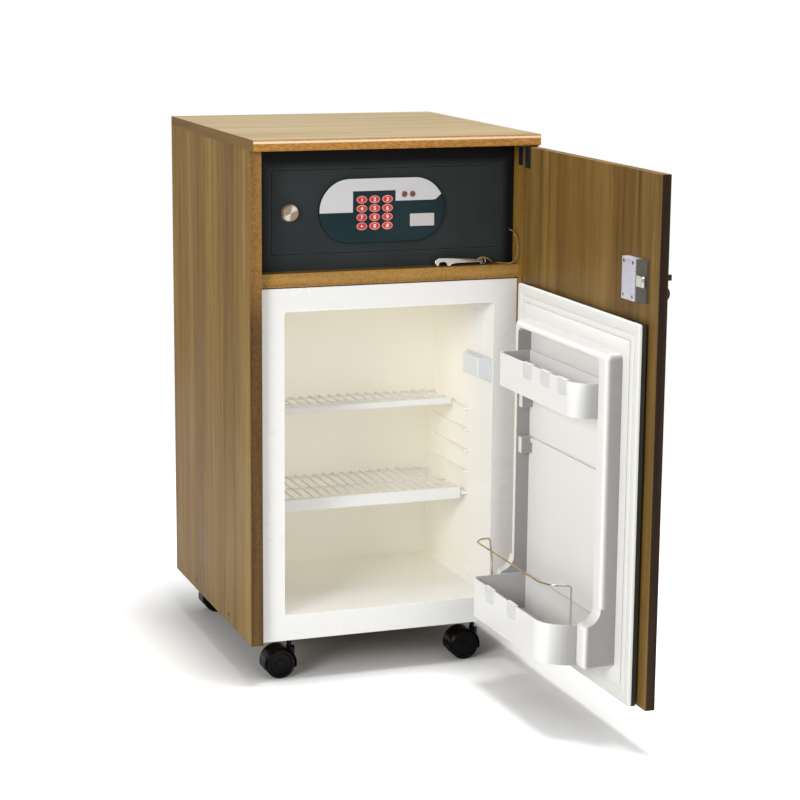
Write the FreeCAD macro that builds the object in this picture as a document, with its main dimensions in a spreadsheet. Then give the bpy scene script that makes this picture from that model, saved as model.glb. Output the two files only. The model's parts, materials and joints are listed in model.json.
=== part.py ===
import FreeCAD, Part
import math
import os

import Sketcher
from FreeCAD import Placement, Rotation, Vector

# Hotel minibar cabinet: a wooden carcass on casters with an electronic safe above an absorption fridge.
# Millimetres. X to the right, Y into the cabinet, Z up. The origin is on the floor, under the middle
# of the carcass. The cabinet door stands open at rest and carries the fridge door.

SIZES = {
    # carcass
    "cabinet_width": 480,
    "cabinet_depth": 490,
    "floor_gap": 70,            # floor to the side panels
    "side_height": 800,
    "side_thickness": 20,
    "top_thickness": 18,
    "top_overhang": 24.5,
    "top_edge_radius": 3,
    "board_edge_radius": 1,
    "bottom_rise": 5,           # bottom panel above the side panels' lower edge
    "bottom_thickness": 20,
    "back_thickness": 5,
    "back_inset": 6,
    "vent_margin": 45,          # back panel left around its window
    "back_window_radius": 18,
    "shelf_rise": 581.5,        # safe shelf above the side panels' lower edge
    "shelf_thickness": 22.5,
    "shelf_recess": 14,
    "screw_head_radius": 4,
    "screw_head_height": 3,
    "screw_shank_radius": 2,
    "screw_length": 38,
    "screw_front_inset": 137,   # front side screw behind the carcass front
    "screw_distance": 213,
    "screw_play": 0.1,
    # strike plate
    "strike_height": 42,
    "strike_depth": 14,
    "strike_thickness": 1.5,
    "strike_inset": 0.5,
    "mortise_play": 5,          # mortise past the tip of the thrown bolt
    # safe
    "safe_recess": 36,          # front plate behind the carcass front
    "safe_depth": 364,
    "safe_side_play": 2,
    "safe_height": 194,
    "safe_plate": 5,
    "safe_wall": 2.5,
    "safe_door_margin": 24.5,   # safe's front left on either side of its door
    "safe_door_height": 132.5,
    "safe_door_rise": 27.2,     # door above the safe shelf
    "safe_door_shift": 0.8,     # door's middle to the right of the cabinet's
    "safe_door_gap": 1,
    "safe_hinge_inset": 5.5,
    "safe_pin_radius": 1.5,
    "safe_pin_length": 8,
    "running_play": 0.05,
    "bolt_case_wall": 1.5,
    "bolt_case_depth": 21,
    "bolt_case_margin": 11,     # door plate left around the bolt housing
    "bolt_case_hinge_margin": 20,
    "safe_bolt_radius": 5,
    "safe_bolt_length": 40,
    "safe_bolt_distance": 70,
    "safe_bolt_proud": 7,       # bolt tips past the housing when withdrawn
    "safe_bolt_play": 0.4,
    "bolt_bar_width": 6,
    "safe_bolt_round": 1.5,
    "knob_radius": 14,
    "knob_height": 8,
    "knob_skirt_height": 2.5,
    "knob_grip_radius": 13,
    "knob_top_radius": 12,
    "knob_tail": 3,             # shaft behind the door plate
    "knob_inset": 29,           # knob's axis from the door's free edge
    "knob_shaft_radius": 4,
    "knob_seat": 0.3,
    "fascia_width": 212,
    "fascia_height": 103,
    "fascia_thickness": 6,
    "fascia_shift": -10,        # fascia's middle to the right of the cabinet's
    "fascia_edge_radius": 2,
    "key_width": 18,
    "key_height": 12.6,
    "key_pitch_x": 21.6,
    "key_pitch_z": 14.2,
    "key_proud": 1.6,
    "key_travel": 1,
    "key_play": 0.3,
    "key_round": 0.7,
    "keys_left": -45.3,         # middle of the left column of keys
    "keys_rise": 68.8,          # middle of the lowest row of keys above the safe shelf
    "led_radius": 4.5,
    "led_proud": 2,
    "led_round": 1.6,
    "led_left": 26.8,
    "led_distance": 13.8,
    "led_rise": 91,             # lamps above the safe door's lower edge
    "lock_cover_width": 41.2,
    "lock_cover_height": 20.5,
    "lock_cover_thickness": 3,
    "lock_cover_radius": 2,
    "lock_cover_round": 1,
    "lock_cover_left": 36.7,
    "lock_cover_rise": 39.1,    # lock cover above the safe door's lower edge
    # fridge
    "fridge_recess": 14.8,
    "fridge_side_play": 1,
    "frame_depth": 17,
    "frame_height": 580,
    "sheet_corner": 2,          # corners of the front frame, the skin and the gasket
    "frame_gap": 0.5,           # frame clear of the bottom panel's front edge
    "housing_play": 6,          # housing clear of the side panels
    "cooling_room": 79.2,       # between the housing and the back panel
    "housing_top_gap": 6,
    "opening_width": 358,
    "opening_bottom": 112.5,
    "opening_height": 499.5,
    "liner_wall": 2.5,
    "liner_radius": 4,
    "cavity_back_wall": 100,    # insulation behind the cavity
    "cavity_draft": 9,
    "cold_step_depth": 32,
    "cold_step_bottom": 410,
    "rib_height": 4,
    "rib_inner_half": 165,
    "rib_front": 108,           # ribs behind the carcass front
    "rib_length": 160,
    "rib_pitch": 36.5,
    "rib_count": 5,
    "lower_rib_top": 272,
    "shelf_half_width": 169,
    "shelf_bar_radius": 2,
    "shelf_wire_radius": 1.3,
    "shelf_wire_pitch": 17,
    "upper_shelf_front": 163,
    "upper_shelf_depth": 98,
    "upper_trim_height": 11,
    "lower_shelf_front": 116,
    "lower_shelf_depth": 176,
    "lower_trim_height": 21,
    "trim_depth": 8,
    "trim_radius": 2,
    "trim_play": 1,             # strip clear of the ribs at its ends
    "lamp_front": 19,
    "lamp_length": 101,
    "lamp_bottom": 477,
    "lamp_height": 40,
    "lamp_base": 4,
    "lamp_cover_depth": 10,
    "lamp_cover_inset": 30,
    "lamp_cover_length": 66,
    "lamp_cover_margin": 3,     # lamp box left above and below its cover
    "lamp_cover_round": 3,
    "lamp_socket_inset": 4,     # recess behind the cover, inside its edges
    # cooling unit
    "tube_stand_off": 6,        # absorber tube clear of the housing
    "tube_radius": 8,
    "tube_bend": 20,
    "absorber_width": 250,
    "absorber_runs": 5,
    "absorber_bottom": 190,
    "vessel_radius": 27,
    "vessel_length": 230,
    "vessel_middle": 140,
    "vessel_round": 8,
    "pipe_radius": 5.6,         # the thin pipes to the boiler
    "link_drop": 30,            # boiler pipe below the boiler's top
    "boiler_width": 62,
    "boiler_depth": 56,
    "boiler_bottom": 120,
    "boiler_height": 330,
    "boiler_shift": 165,
    "boiler_round": 6,
    "condenser_rise": 560,
    "fin_height": 64,
    "fin_depth": 38,
    "fin_shift": 5,             # middle of the fins behind the tube's axis
    "fin_thickness": 1.2,
    "fin_pitch": 12,
    "fin_count": 17,
    "strap_width": 24,
    "inlet_width": 28,
    "inlet_height": 20,
    "inlet_recess": 14,
    "inlet_rise": 12,           # inlet above the boiler's lower edge
    # casters
    "caster_side_inset": 78,    # stem's axis from the carcass sides
    "caster_inset": 48,         # stem's axis from the carcass front and back
    "caster_trail": 19,
    "wheel_radius": 25,
    "wheel_width": 15,
    "wheel_gap": 0.6,
    "web_thickness": 7,
    "hood_radius": 28,
    "hood_wall": 1.8,
    "hood_round": 5,
    "hood_opening": 7.5,        # hood's lower edge below the axle
    "boss_height": 24,
    "collar_height": 3.5,
    "collar_gap": 0.5,          # collar clear of the bottom panel
    "tyre_round": 2,
    "tyre_depth": 7.5,          # from the tread to the hub's dish
    "hub_dish": 3,
    "hub_cap_radius": 7,
    "stem_radius": 4,
    "stem_depth": 19,
    "boss_radius": 9,
    "axle_radius": 3,
    # cabinet door
    "door_side_play": 1,        # cabinet door within the carcass sides' outer faces
    "door_thickness": 16,
    "door_height": 797,
    "door_bottom": 70.5,
    "door_gap": 2.5,
    "door_edge_radius": 2,
    "hinge_inset": 8,           # hinge axis from the door's edge
    "hinge_depth": 10.1,        # hinge axis behind the door's inner face
    "door_open_angle": 90.9,
    "hinge_pin_radius": 2,
    "hinge_pin_length": 14,
    "barrel_radius": 4.5,
    "barrel_height": 16,
    "barrel_play": 0.2,
    "barrel_web": 6,
    "leaf_start": 5.5,          # leaf from the door's hinge edge
    "leaf_width": 18,
    "leaf_height": 34,
    "leaf_thickness": 1.8,
    "leaf_corner": 1.5,
    "bracket_thickness": 2.2,
    "bracket_width": 34,
    "bracket_tab": 14,
    "bracket_tab_thickness": 2,
    "bracket_tab_height": 34,
    "leaf_screw_from_edge": 14.5,
    "leaf_screw_distance": 22,
    "small_head_radius": 3,
    "small_head_height": 1.2,
    "small_shank_radius": 1.5,
    "small_screw_length": 10,
    # lock
    "lock_start": 383,          # lock case from the door's hinge edge
    "lock_width": 64,
    "lock_flat_width": 36,
    "lock_thin": 4,
    "lock_thickness": 12,
    "lock_edge_radius": 1,
    "lock_screw_grip": 8,       # lock screws in the door panel
    "lock_height": 62,
    "lock_middle": 709.5,
    "lock_screw_inset": 6,
    "lock_screw_distance": 29,
    "lock_screw_rise": 25,
    "lock_bolt_length": 48,
    "lock_bolt_height": 16,
    "lock_bolt_thickness": 6,
    "lock_bolt_rise": 4,        # bolt's face above the door's inner face
    "lock_bolt_travel": 16,
    "lock_bolt_play": 0.3,
    "cylinder_radius": 9,
    "cylinder_flange": 11,
    "cylinder_flange_height": 1.2,
    "key_from_edge": 414,
    "shank_radius": 2.5,
    "shank_proud": 8,
    "grip_length": 29,
    "grip_width": 9,
    "grip_thickness": 5,
    "grip_round": 1.6,
    "neck_width": 4,
    "neck_thickness": 2,
    "shank_seat": 2,            # shank's tip in front of the door's inner face
    "fob_radius": 13,
    "fob_thickness": 7,
    "fob_drop": 24,
    "fob_round": 2.5,
    # fridge door
    "inner_door_gap": 4.8,      # between the cabinet door and the fridge door
    "inner_door_inset": 20,     # fridge door's hinge side from the cabinet door's edge
    "inner_door_far_inset": 24, # and its free side from the door's other edge
    "inner_door_bottom": 71,
    "inner_door_height": 578,
    "skin_thickness": 6,
    "groove": 0.8,
    "seal_thickness": 5.2,
    "seal_width": 28,
    "seal_root_inset": 5,
    "dyke_start": 44,           # from the fridge door's hinge side
    "dyke_end": 49,             # and from its free side
    "dyke_height": 25,
    "dyke_gap": 2.5,            # dyke clear of the opening's floor
    "dyke_top": 600,
    "dyke_radius": 10,
    "dyke_corner": 12,
    "tray_start": 61,
    "tray_end": 77,
    "tray_floor_gap": 2,
    "cavity_top": 588,
    "cheek_reach": 50,
    "cheek_top": 185,
    "cheek_radius": 8,
    "bead_bottom": 400,
    "bead_height": 8,
    "bead_depth": 3,
    "tray_wall": 2.5,
    "balcony_play": 0.3,
    "upper_balcony_bottom": 497,
    "upper_balcony_height": 53,
    "upper_balcony_reach": 60,
    "upper_balcony_radius": 36,
    "lower_balcony_bottom": 118,
    "lower_balcony_height": 63,
    "lower_balcony_reach": 99,
    "lower_balcony_radius": 52,
    "near_corner_radius": 12,
    "clip_width": 32,
    "clip_height": 24,
    "clip_thickness": 1.4,
    "upper_clip_first": 178,    # middles of the clips from the fridge door's hinge side
    "upper_clip_second": 244,
    "upper_clip_third": 305,
    "lower_clip_first": 135,
    "lower_clip_second": 222,
    "guard_radius": 1.4,
    "guard_rise": 62,           # guard bar above the lower balcony's rim
    "guard_leg_gap": 10.5,      # free-side leg in front of the cheek
    "guard_hook_gap": 14,       # hinge-side leg in front of the cheek
    "guard_hook_rise": 20,
    "guard_cut": 0.62,          # share of the tray's corner that the bar cuts across
    "guard_wide_in": 12,        # first corner of the bar past the free-side leg
    "guard_wide_back": 10,      # and behind the bar's front run
    "guard_near_cut": 14,
    "guard_leg_bend": 5,
    "guard_wide_bend": 20,
    "guard_near_bend": 12,
    "guard_hook_bend": 60,
    "lug_width": 12,
    "lug_height": 26,
    "lug_bottom": 383,
    "lug_distance": 75,
    "lug_sink": 4,              # lugs below the dyke's top
    "spacer_radius": 8,
    "spacer_inset": 70,
    # bottle opener and its cord
    "opener_side_gap": 140,     # opener's head from the right side panel
    "opener_lever_length": 88,
    "opener_lever_width": 13,
    "opener_lever_thickness": 2.4,
    "opener_head_length": 22,
    "opener_head_width": 24,
    "opener_head_thickness": 6,
    "opener_head_round": 5,
    "opener_head_lap": 4,       # head past the lever's end
    "opener_tail": 10,          # lever past its length, round the hole
    "opener_hole_inset": 6,     # hole from the lever's end
    "opener_inset": 22,         # opener's middle behind the carcass front
    "opener_hole_radius": 2.5,
    "cord_radius": 1,
    "cord_exit_inset": 7,
    "cord_exit_rise": 54,
    "cord_drop_y": 16,          # route: in front of the safe, then down past the shelf's edge
    "cord_bulge": 3.5,
    "cord_fall": 30,
    "cord_drape": 9,
    "cord_turn_side": 15,
    "cord_turn_depth": 25,
    "cord_rest_side": 27,
    "cord_rest_depth": 31,
    "cord_end_gap": 0.9,
    "cord_lift": 0.1,           # cord clear of the shelf
}

doc = FreeCAD.newDocument("HotelMinibar")
sheet = doc.addObject("Spreadsheet::Sheet", "Sizes")
for row, (alias, number) in enumerate(SIZES.items(), start=1):
    sheet.set(f"A{row}", alias)
    sheet.set(f"B{row}", str(number))
    sheet.setAlias(f"B{row}", alias)
doc.recompute()


class Size:
    """A length with its formula in the sheet, for expressions, and its value, for code."""

    def __init__(self, formula, value):
        self.formula = formula
        self.value = value

    def __add__(self, other):
        other = as_size(other)
        return Size(f"({self.formula} + {other.formula})", self.value + other.value)

    def __sub__(self, other):
        other = as_size(other)
        return Size(f"({self.formula} - {other.formula})", self.value - other.value)

    def __mul__(self, factor):
        factor = as_size(factor)
        return Size(f"({self.formula} * {factor.formula})", self.value * factor.value)

    def __truediv__(self, divisor):
        divisor = as_size(divisor)
        return Size(f"({self.formula} / {divisor.formula})", self.value / divisor.value)

    def __neg__(self):
        return Size(f"(0 - {self.formula})", -self.value)

    def __radd__(self, other):
        return as_size(other) + self


def as_size(number):
    if isinstance(number, Size):
        return number
    return Size(f"({number!r})", number)


class Sheet:
    """The sheet's aliases as sizes: s.cabinet_depth and so on."""

    def __getattr__(self, alias):
        return Size(f"Sizes.{alias}", float(sheet.get(alias)))


s = Sheet()
TURNS = {
    "x": Rotation(Vector(0, 1, 0), 90),
    "y": Rotation(Vector(1, 0, 0), -90),
    "z": Rotation(),
}
nodes = []


# ---- building blocks ----

def bind(made, prop, size):
    made.setExpression(prop, as_size(size).formula)


def place(made, x=0, y=0, z=0, turn=None):
    made.Placement = Placement(Vector(), turn or Rotation())
    for axis, size in (("x", x), ("y", y), ("z", z)):
        bind(made, f"Placement.Base.{axis}", size)
    return made


def block(name, x, y, z):
    """A box between a low and a high face along each axis."""
    made = doc.addObject("Part::Box", name)
    for prop, (low, high) in (("Length", x), ("Width", y), ("Height", z)):
        bind(made, prop, as_size(high) - low)
    return place(made, x[0], y[0], z[0])


def rod(name, axis, at, span, radius):
    """A cylinder along an axis; at holds the other two coordinates."""
    made = doc.addObject("Part::Cylinder", name)
    bind(made, "Radius", radius)
    bind(made, "Height", as_size(span[1]) - span[0])
    spot = dict(zip([one for one in "xyz" if one != axis], at))
    spot[axis] = span[0]
    return place(made, spot["x"], spot["y"], spot["z"], TURNS[axis])


def wedge(name, x, y, z, far_x, far_z):
    """A block whose section changes from x by z at its near face to far_x by far_z."""
    made = doc.addObject("Part::Wedge", name)
    ends = {"Xmin": x[0], "Xmax": x[1], "Ymin": y[0], "Ymax": y[1], "Zmin": z[0], "Zmax": z[1]}
    ends |= {"X2min": far_x[0], "X2max": far_x[1], "Z2min": far_z[0], "Z2max": far_z[1]}
    for prop, size in ends.items():
        bind(made, prop, size)
    return made


def oval(name, at, width, height, y):
    """An elliptic rod along Y."""
    outline = doc.addObject("Part::Ellipse", name + "_outline")
    bind(outline, "MajorRadius", width / 2)
    bind(outline, "MinorRadius", height / 2)
    place(outline, at[0], y[0], at[1], Rotation(Vector(1, 0, 0), -90))
    made = doc.addObject("Part::Extrusion", name)
    made.Base = outline
    made.DirMode = "Custom"
    made.Dir = Vector(0, 1, 0)
    made.Solid = True
    bind(made, "LengthFwd", as_size(y[1]) - y[0])
    return made


def join(name, *shapes):
    made = doc.addObject("Part::MultiFuse", name)
    made.Shapes = list(shapes)
    made.Refine = True
    return made


def cut(name, base, *tools):
    made = doc.addObject("Part::Cut", name)
    made.Base = base
    made.Tool = tools[0] if len(tools) == 1 else join(name + "_tools", *tools)
    return made


def overlap(name, base, tool):
    made = doc.addObject("Part::Common", name)
    made.Base = base
    made.Tool = tool
    return made


def group(name, *shapes):
    made = doc.addObject("Part::Compound", name)
    made.Links = list(shapes)
    return made


def rounded(name, base, radius, picked):
    """Rounds the picked edges of a shape."""
    doc.recompute()
    size = as_size(radius).value
    made = doc.addObject("Part::Fillet", name)
    made.Base = base
    made.Edges = [(n, size, size) for n, edge in enumerate(base.Shape.Edges, 1) if picked(edge)]
    if not made.Edges:
        raise ValueError(f"{name} rounds no edge")
    return made


def along(axis, **near):
    """Picks straight edges along an axis whose middle is at the given coordinates."""
    def picked(edge):
        direction = getattr(edge.tangentAt(edge.FirstParameter), axis)
        middle = edge.BoundBox.Center
        placed = all(abs(getattr(middle, one) - as_size(at).value) < 0.01 for one, at in near.items())
        return abs(direction) > 0.98 and placed
    return picked


def round_edge(edge):
    """Picks circular edges."""
    return edge.Curve.TypeId == "Part::GeomCircle"


def flat_at(axis, size):
    """Picks the edges that lie wholly at one coordinate."""
    def picked(edge):
        box = edge.BoundBox
        ends = (getattr(box, axis.upper() + "Min"), getattr(box, axis.upper() + "Max"))
        return all(abs(end - as_size(size).value) < 0.01 for end in ends)
    return picked


def polygon(body, plane, name, points):
    """A closed sketch on one of the body's own planes, each corner bound to the sheet."""
    made = body.newObject("Sketcher::SketchObject", name)
    made.AttachmentSupport = [(next(f for f in body.Origin.OriginFeatures if f.Role == plane), "")]
    made.MapMode = "FlatFace"
    corners = [(as_size(x), as_size(y)) for x, y in points]
    spots = [Vector(x.value, y.value, 0) for x, y in corners]
    count = len(spots)
    for n in range(count):
        made.addGeometry(Part.LineSegment(spots[n], spots[(n + 1) % count]))
    for n in range(count):
        made.addConstraint(Sketcher.Constraint("Coincident", n, 2, (n + 1) % count, 1))
    for n, corner in enumerate(corners):
        for kind, size in zip(("DistanceX", "DistanceY"), corner):
            index = made.addConstraint(Sketcher.Constraint(kind, -1, 1, n, 1, size.value))
            made.setExpression(f"Constraints[{index}]", size.formula)
    return made


def padded(name, points, length):
    """A body: a polygon on the XY plane, padded upwards."""
    body = doc.addObject("PartDesign::Body", name)
    pad = body.newObject("PartDesign::Pad", name + "_pad")
    pad.Profile = polygon(body, "XY_Plane", name + "_sketch", points)
    bind(pad, "Length", length)
    return body


def softened(body, radius, picked):
    """Rounds the picked edges of a body's newest feature."""
    doc.recompute()
    tip = body.Tip
    fillet = body.newObject("PartDesign::Fillet", f"{body.Name}_fillet_{len(body.Group)}")
    fillet.Base = (tip, [f"Edge{n}" for n, edge in enumerate(tip.Shape.Edges, 1) if picked(edge)])
    bind(fillet, "Radius", radius)
    return body


def turned(name, points):
    """A body: a polygon of radius and height, turned about the Z axis."""
    body = doc.addObject("PartDesign::Body", name)
    profile = polygon(body, "XZ_Plane", name + "_sketch", points)
    revolution = body.newObject("PartDesign::Revolution", name + "_turn")
    revolution.Profile = profile
    revolution.ReferenceAxis = (profile, ["V_Axis"])
    revolution.Angle = 360
    return body


def keep(made, name):
    """Names a finished sub-part and puts it on the list to write."""
    made.Label = name
    nodes.append(made)
    return made


def keep_on_door(made, name):
    """As keep, for a sub-part drawn closed about the cabinet door's hinge axis: swings it open."""
    place(made, axis_x, axis_y, 0, Rotation(Vector(0, 0, 1), 1))
    bind(made, "Placement.Rotation.Angle", s.door_open_angle)
    return keep(made, name)


def bent_wire(points, radii):
    """Straight runs through points, joined by tangent arcs."""
    edges = []
    start = points[0]
    for n in range(1, len(points) - 1):
        corner = points[n]
        back = (points[n - 1] - corner).normalize()
        ahead = (points[n + 1] - corner).normalize()
        turn = math.pi - back.getAngle(ahead)
        reach = radii[n - 1] * math.tan(turn / 2)
        enter = corner + back * reach
        leave = corner + ahead * reach
        middle = corner + (back + ahead).normalize() * (radii[n - 1] / math.cos(turn / 2) - radii[n - 1])
        edges.append(Part.LineSegment(start, enter).toShape())
        edges.append(Part.Arc(enter, middle, leave).toShape())
        start = leave
    edges.append(Part.LineSegment(start, points[-1]).toShape())
    return Part.Wire(edges)


def wire_tube(name, points, radii, radius):
    """A round bar bent along points."""
    path = bent_wire(points, radii)
    start = path.Edges[0]
    ring = Part.Circle(points[0], start.tangentAt(start.FirstParameter), radius)
    solid = path.makePipeShell([Part.Wire(ring.toShape())], True, False)
    expected = math.pi * radius ** 2 * path.Length
    if abs(solid.Volume - expected) > 0.02 * expected:
        raise ValueError(f"{name}: volume {solid.Volume:.0f}, expected {expected:.0f}")
    made = doc.addObject("Part::Feature", name)
    made.Shape = solid
    return made


def as_vectors(points):
    return [Vector(*[as_size(one).value for one in point]) for point in points]


# ---- planes and axes that several sub-parts share ----

front = -s.cabinet_depth / 2
back = s.cabinet_depth / 2
inner = s.cabinet_width / 2 - s.side_thickness      # a side panel's inner face, from the middle
door_width = s.cabinet_width - s.door_side_play * 2
inner_door_width = door_width - s.inner_door_inset - s.inner_door_far_inset
dyke_width = inner_door_width - s.dyke_start - s.dyke_end
tray_width = inner_door_width - s.tray_start - s.tray_end
safe_door_width = (inner - s.safe_side_play - s.safe_door_margin) * 2
side_top = s.floor_gap + s.side_height
bottom_low = s.floor_gap + s.bottom_rise
bottom_high = bottom_low + s.bottom_thickness
frame_front = front + s.fridge_recess
frame_back = frame_front + s.frame_depth
bottom_front = frame_back + s.frame_gap
back_face = back - s.back_inset                     # the back panel's outer face
back_front = back_face - s.back_thickness
housing_back = back_front - s.cooling_room
cavity_depth = housing_back - frame_front - s.cavity_back_wall
shelf_low = s.floor_gap + s.shelf_rise
shelf_high = shelf_low + s.shelf_thickness
safe_front = front + s.safe_recess
safe_door_low = shelf_high + s.safe_door_rise
safe_door_high = safe_door_low + s.safe_door_height
safe_door_left = s.safe_door_shift - safe_door_width / 2
safe_door_right = s.safe_door_shift + safe_door_width / 2
safe_hinge_x = safe_door_right - s.safe_hinge_inset
safe_hinge_y = safe_front + s.safe_plate / 2
fascia_front = safe_front - s.fascia_thickness
fascia_middle = safe_door_low + s.safe_door_height / 2
knob_x = safe_door_left + s.knob_inset
opener_left = inner - s.opener_side_gap
cord_exit_x = inner - s.cord_exit_inset
case_back = safe_front + s.safe_plate + s.bolt_case_depth
bolt_y = safe_front + s.safe_plate + s.bolt_case_depth / 2
axis_x = door_width / 2 - s.hinge_inset
axis_y = front - s.door_gap - s.hinge_depth

# Door sub-parts are drawn closed, with the hinge axis as origin.
door_inner = s.hinge_depth
door_outer = s.hinge_depth - s.door_thickness
door_top = s.door_bottom + s.door_height
skin_face = door_inner + s.inner_door_gap
seal_face = skin_face + s.skin_thickness + s.groove + s.seal_thickness
inner_door_top = s.inner_door_bottom + s.inner_door_height


def door_x(from_edge):
    """A distance from the cabinet door's hinge edge as a coordinate."""
    return s.hinge_inset - from_edge


def inner_x(from_side):
    """A distance from the fridge door's hinge side as a coordinate."""
    return door_x(s.inner_door_inset) - from_side


# ---- carcass ----

def top_panel():
    half = s.cabinet_width / 2
    edge = front - s.top_overhang
    corners = [(-half, edge), (half, edge), (half, back), (-half, back)]
    body = padded("top_panel", corners, s.top_thickness)
    softened(body, s.top_edge_radius, along("x", y=edge))
    bind(body, "Placement.Base.z", side_top)
    keep(body, "top_panel")


def screw_spots(side):
    """Where the screws go through a side panel into the bottom panel."""
    middle = (bottom_low + bottom_high) / 2
    return [(side, front + s.screw_front_inset + s.screw_distance * n, middle) for n in range(2)]


def screw(name, axis, at, out, sizes, play=0):
    """A flat-headed screw; at is the middle of its head's outer face, out is +1 or -1 along the axis."""
    head_radius, head_height, shank_radius, length = sizes
    step = dict(zip("xyz", at))[axis]
    others = [one for key, one in zip("xyz", at) if key != axis]
    spans = [sorted_span(step, step - head_height * out, out), sorted_span(step, step - length * out, out)]
    head = rod(name + "_head", axis, others, spans[0], head_radius + play)
    shank = rod(name + "_shank", axis, others, spans[1], shank_radius + play)
    return join(name, head, shank)


def sorted_span(one, two, out):
    return (two, one) if out > 0 else (one, two)


def side_panels():
    for name, side in (("left_side_panel", -1), ("right_side_panel", 1)):
        face = s.cabinet_width / 2 * side
        span = sorted_span(face, inner * side, side)
        board = block(name + "_board", span, (front, back), (s.floor_gap, side_top))
        board = rounded(name + "_edges", board, s.board_edge_radius, along("z", x=face, y=front))
        long_screw = (s.screw_head_radius, s.screw_head_height, s.screw_shank_radius, s.screw_length)
        tools = [
            screw(f"{name}_hole_{n}", "x", spot, side, long_screw, s.screw_play)
            for n, spot in enumerate(screw_spots(face))
        ]
        if side < 0:
            strike_low = s.lock_middle - s.strike_height / 2
            tools.append(block(
                "strike_seat", (-inner - s.strike_thickness, -inner),
                (front + s.strike_inset, front + s.strike_inset + s.strike_depth),
                (strike_low, strike_low + s.strike_height)))
            tools.append(lock_bolt_room("strike_mortise", -inner))
        keep(cut(name, board, *tools), name)


def lock_bolt_room(name, right):
    """The room that the lock's bolt enters when the door is closed and locked."""
    left = axis_x + door_x(s.lock_start + s.lock_width) - s.lock_bolt_travel - s.mortise_play
    bolt_face = axis_y + door_inner + s.lock_bolt_rise
    play = s.lock_bolt_play * 3
    return block(
        name, (left, right), (bolt_face - play, bolt_face + s.lock_bolt_thickness + play),
        (s.lock_middle - s.lock_bolt_height / 2 - play, s.lock_middle + s.lock_bolt_height / 2 + play))


def side_screws():
    long_screw = (s.screw_head_radius, s.screw_head_height, s.screw_shank_radius, s.screw_length)
    screws = []
    for side, word in ((-1, "left"), (1, "right")):
        for n, spot in enumerate(screw_spots(s.cabinet_width / 2 * side)):
            screws.append(screw(f"side_screw_{word}_{n}", "x", spot, side, long_screw))
    keep(group("side_screws", *screws), "side_screws")


def caster_spots():
    """Each caster's name and stem axis."""
    return [
        (f"{end}_{word}", (s.cabinet_width / 2 - s.caster_side_inset) * side, y)
        for end, y in (("front", front + s.caster_inset), ("rear", back - s.caster_inset))
        for word, side in (("left", -1), ("right", 1))
    ]


def bottom_panel():
    board = block("bottom_board", (-inner, inner), (bottom_front, back_front), (bottom_low, bottom_high))
    tools = [
        rod(f"{name}_socket", "z", (x, y), (bottom_low, bottom_low + s.stem_depth + s.collar_gap),
            s.stem_radius + s.running_play)
        for name, x, y in caster_spots()
    ]
    reach = s.screw_length - s.side_thickness + 1
    for side in (-1, 1):
        for n, (x, y, z) in enumerate(screw_spots(inner * side)):
            span = sorted_span(x, x - reach * side, side)
            tools.append(rod(f"pilot_{n}_{side + 1}", "x", (y, z), span, s.screw_shank_radius + s.screw_play))
    keep(cut("bottom_panel", board, *tools), "bottom_panel")


def safe_shelf():
    edge = front + s.shelf_recess
    points = [(-inner, edge), (inner, edge), (inner, back_front), (-inner, back_front)]
    body = padded("safe_shelf", points, s.shelf_thickness)
    softened(body, s.board_edge_radius, along("x", y=edge))
    bind(body, "Placement.Base.z", shelf_low)
    keep(body, "safe_shelf")


def back_panel():
    board = block("back_board", (-inner, inner), (back_front, back_face), (bottom_low, side_top))
    margin = s.vent_margin
    window = block(
        "back_window", (margin - inner, inner - margin), (back_front - 1, back_face + 1),
        (bottom_high + margin, shelf_low - margin))
    window = rounded("back_window_round", window, s.back_window_radius, along("y"))
    keep(cut("back_panel", board, window), "back_panel")


def strike_plate():
    low = s.lock_middle - s.strike_height / 2
    plate = block(
        "strike_blank", (-inner - s.strike_thickness, -inner),
        (front + s.strike_inset, front + s.strike_inset + s.strike_depth), (low, low + s.strike_height))
    slot = lock_bolt_room("strike_slot", -inner + 1)
    keep(cut("strike_plate", plate, slot), "strike_plate")


def hinge_bracket(name, low, high, pin):
    """A plate that holds a pivot pin above or below the door, on the hinge axis."""
    right = door_width / 2
    plate = block(
        name + "_plate", (right - s.bracket_width, right),
        (axis_y - s.barrel_radius - 1, front + s.bracket_tab), (low, high))
    return plate, rod(name + "_pin", "z", (axis_x, axis_y), pin, s.hinge_pin_radius)


def hinge_brackets():
    high = side_top
    plate, pin = hinge_bracket(
        "upper_bracket", high - s.bracket_thickness, high,
        (door_top - s.hinge_pin_length, high - s.bracket_thickness / 2))
    notch = block(
        "upper_bracket_notch", (inner, door_width / 2 + 1), (front, front + s.bracket_tab + 1),
        (high - s.bracket_thickness - 1, high + 1))
    tab = block(
        "upper_bracket_tab", (inner - s.bracket_tab_thickness, inner), (front, front + s.bracket_tab),
        (high - s.bracket_tab_height, high))
    upper = join("upper_bracket", cut("upper_bracket_arm", plate, notch), pin, tab)
    low = s.floor_gap - s.bracket_thickness
    plate, pin = hinge_bracket(
        "lower_bracket", low, s.floor_gap,
        (low + s.bracket_thickness / 2, s.door_bottom + s.hinge_pin_length))
    lower = join("lower_bracket", plate, pin)
    keep(group("hinge_brackets", upper, lower), "hinge_brackets")


# ---- safe ----

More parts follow.
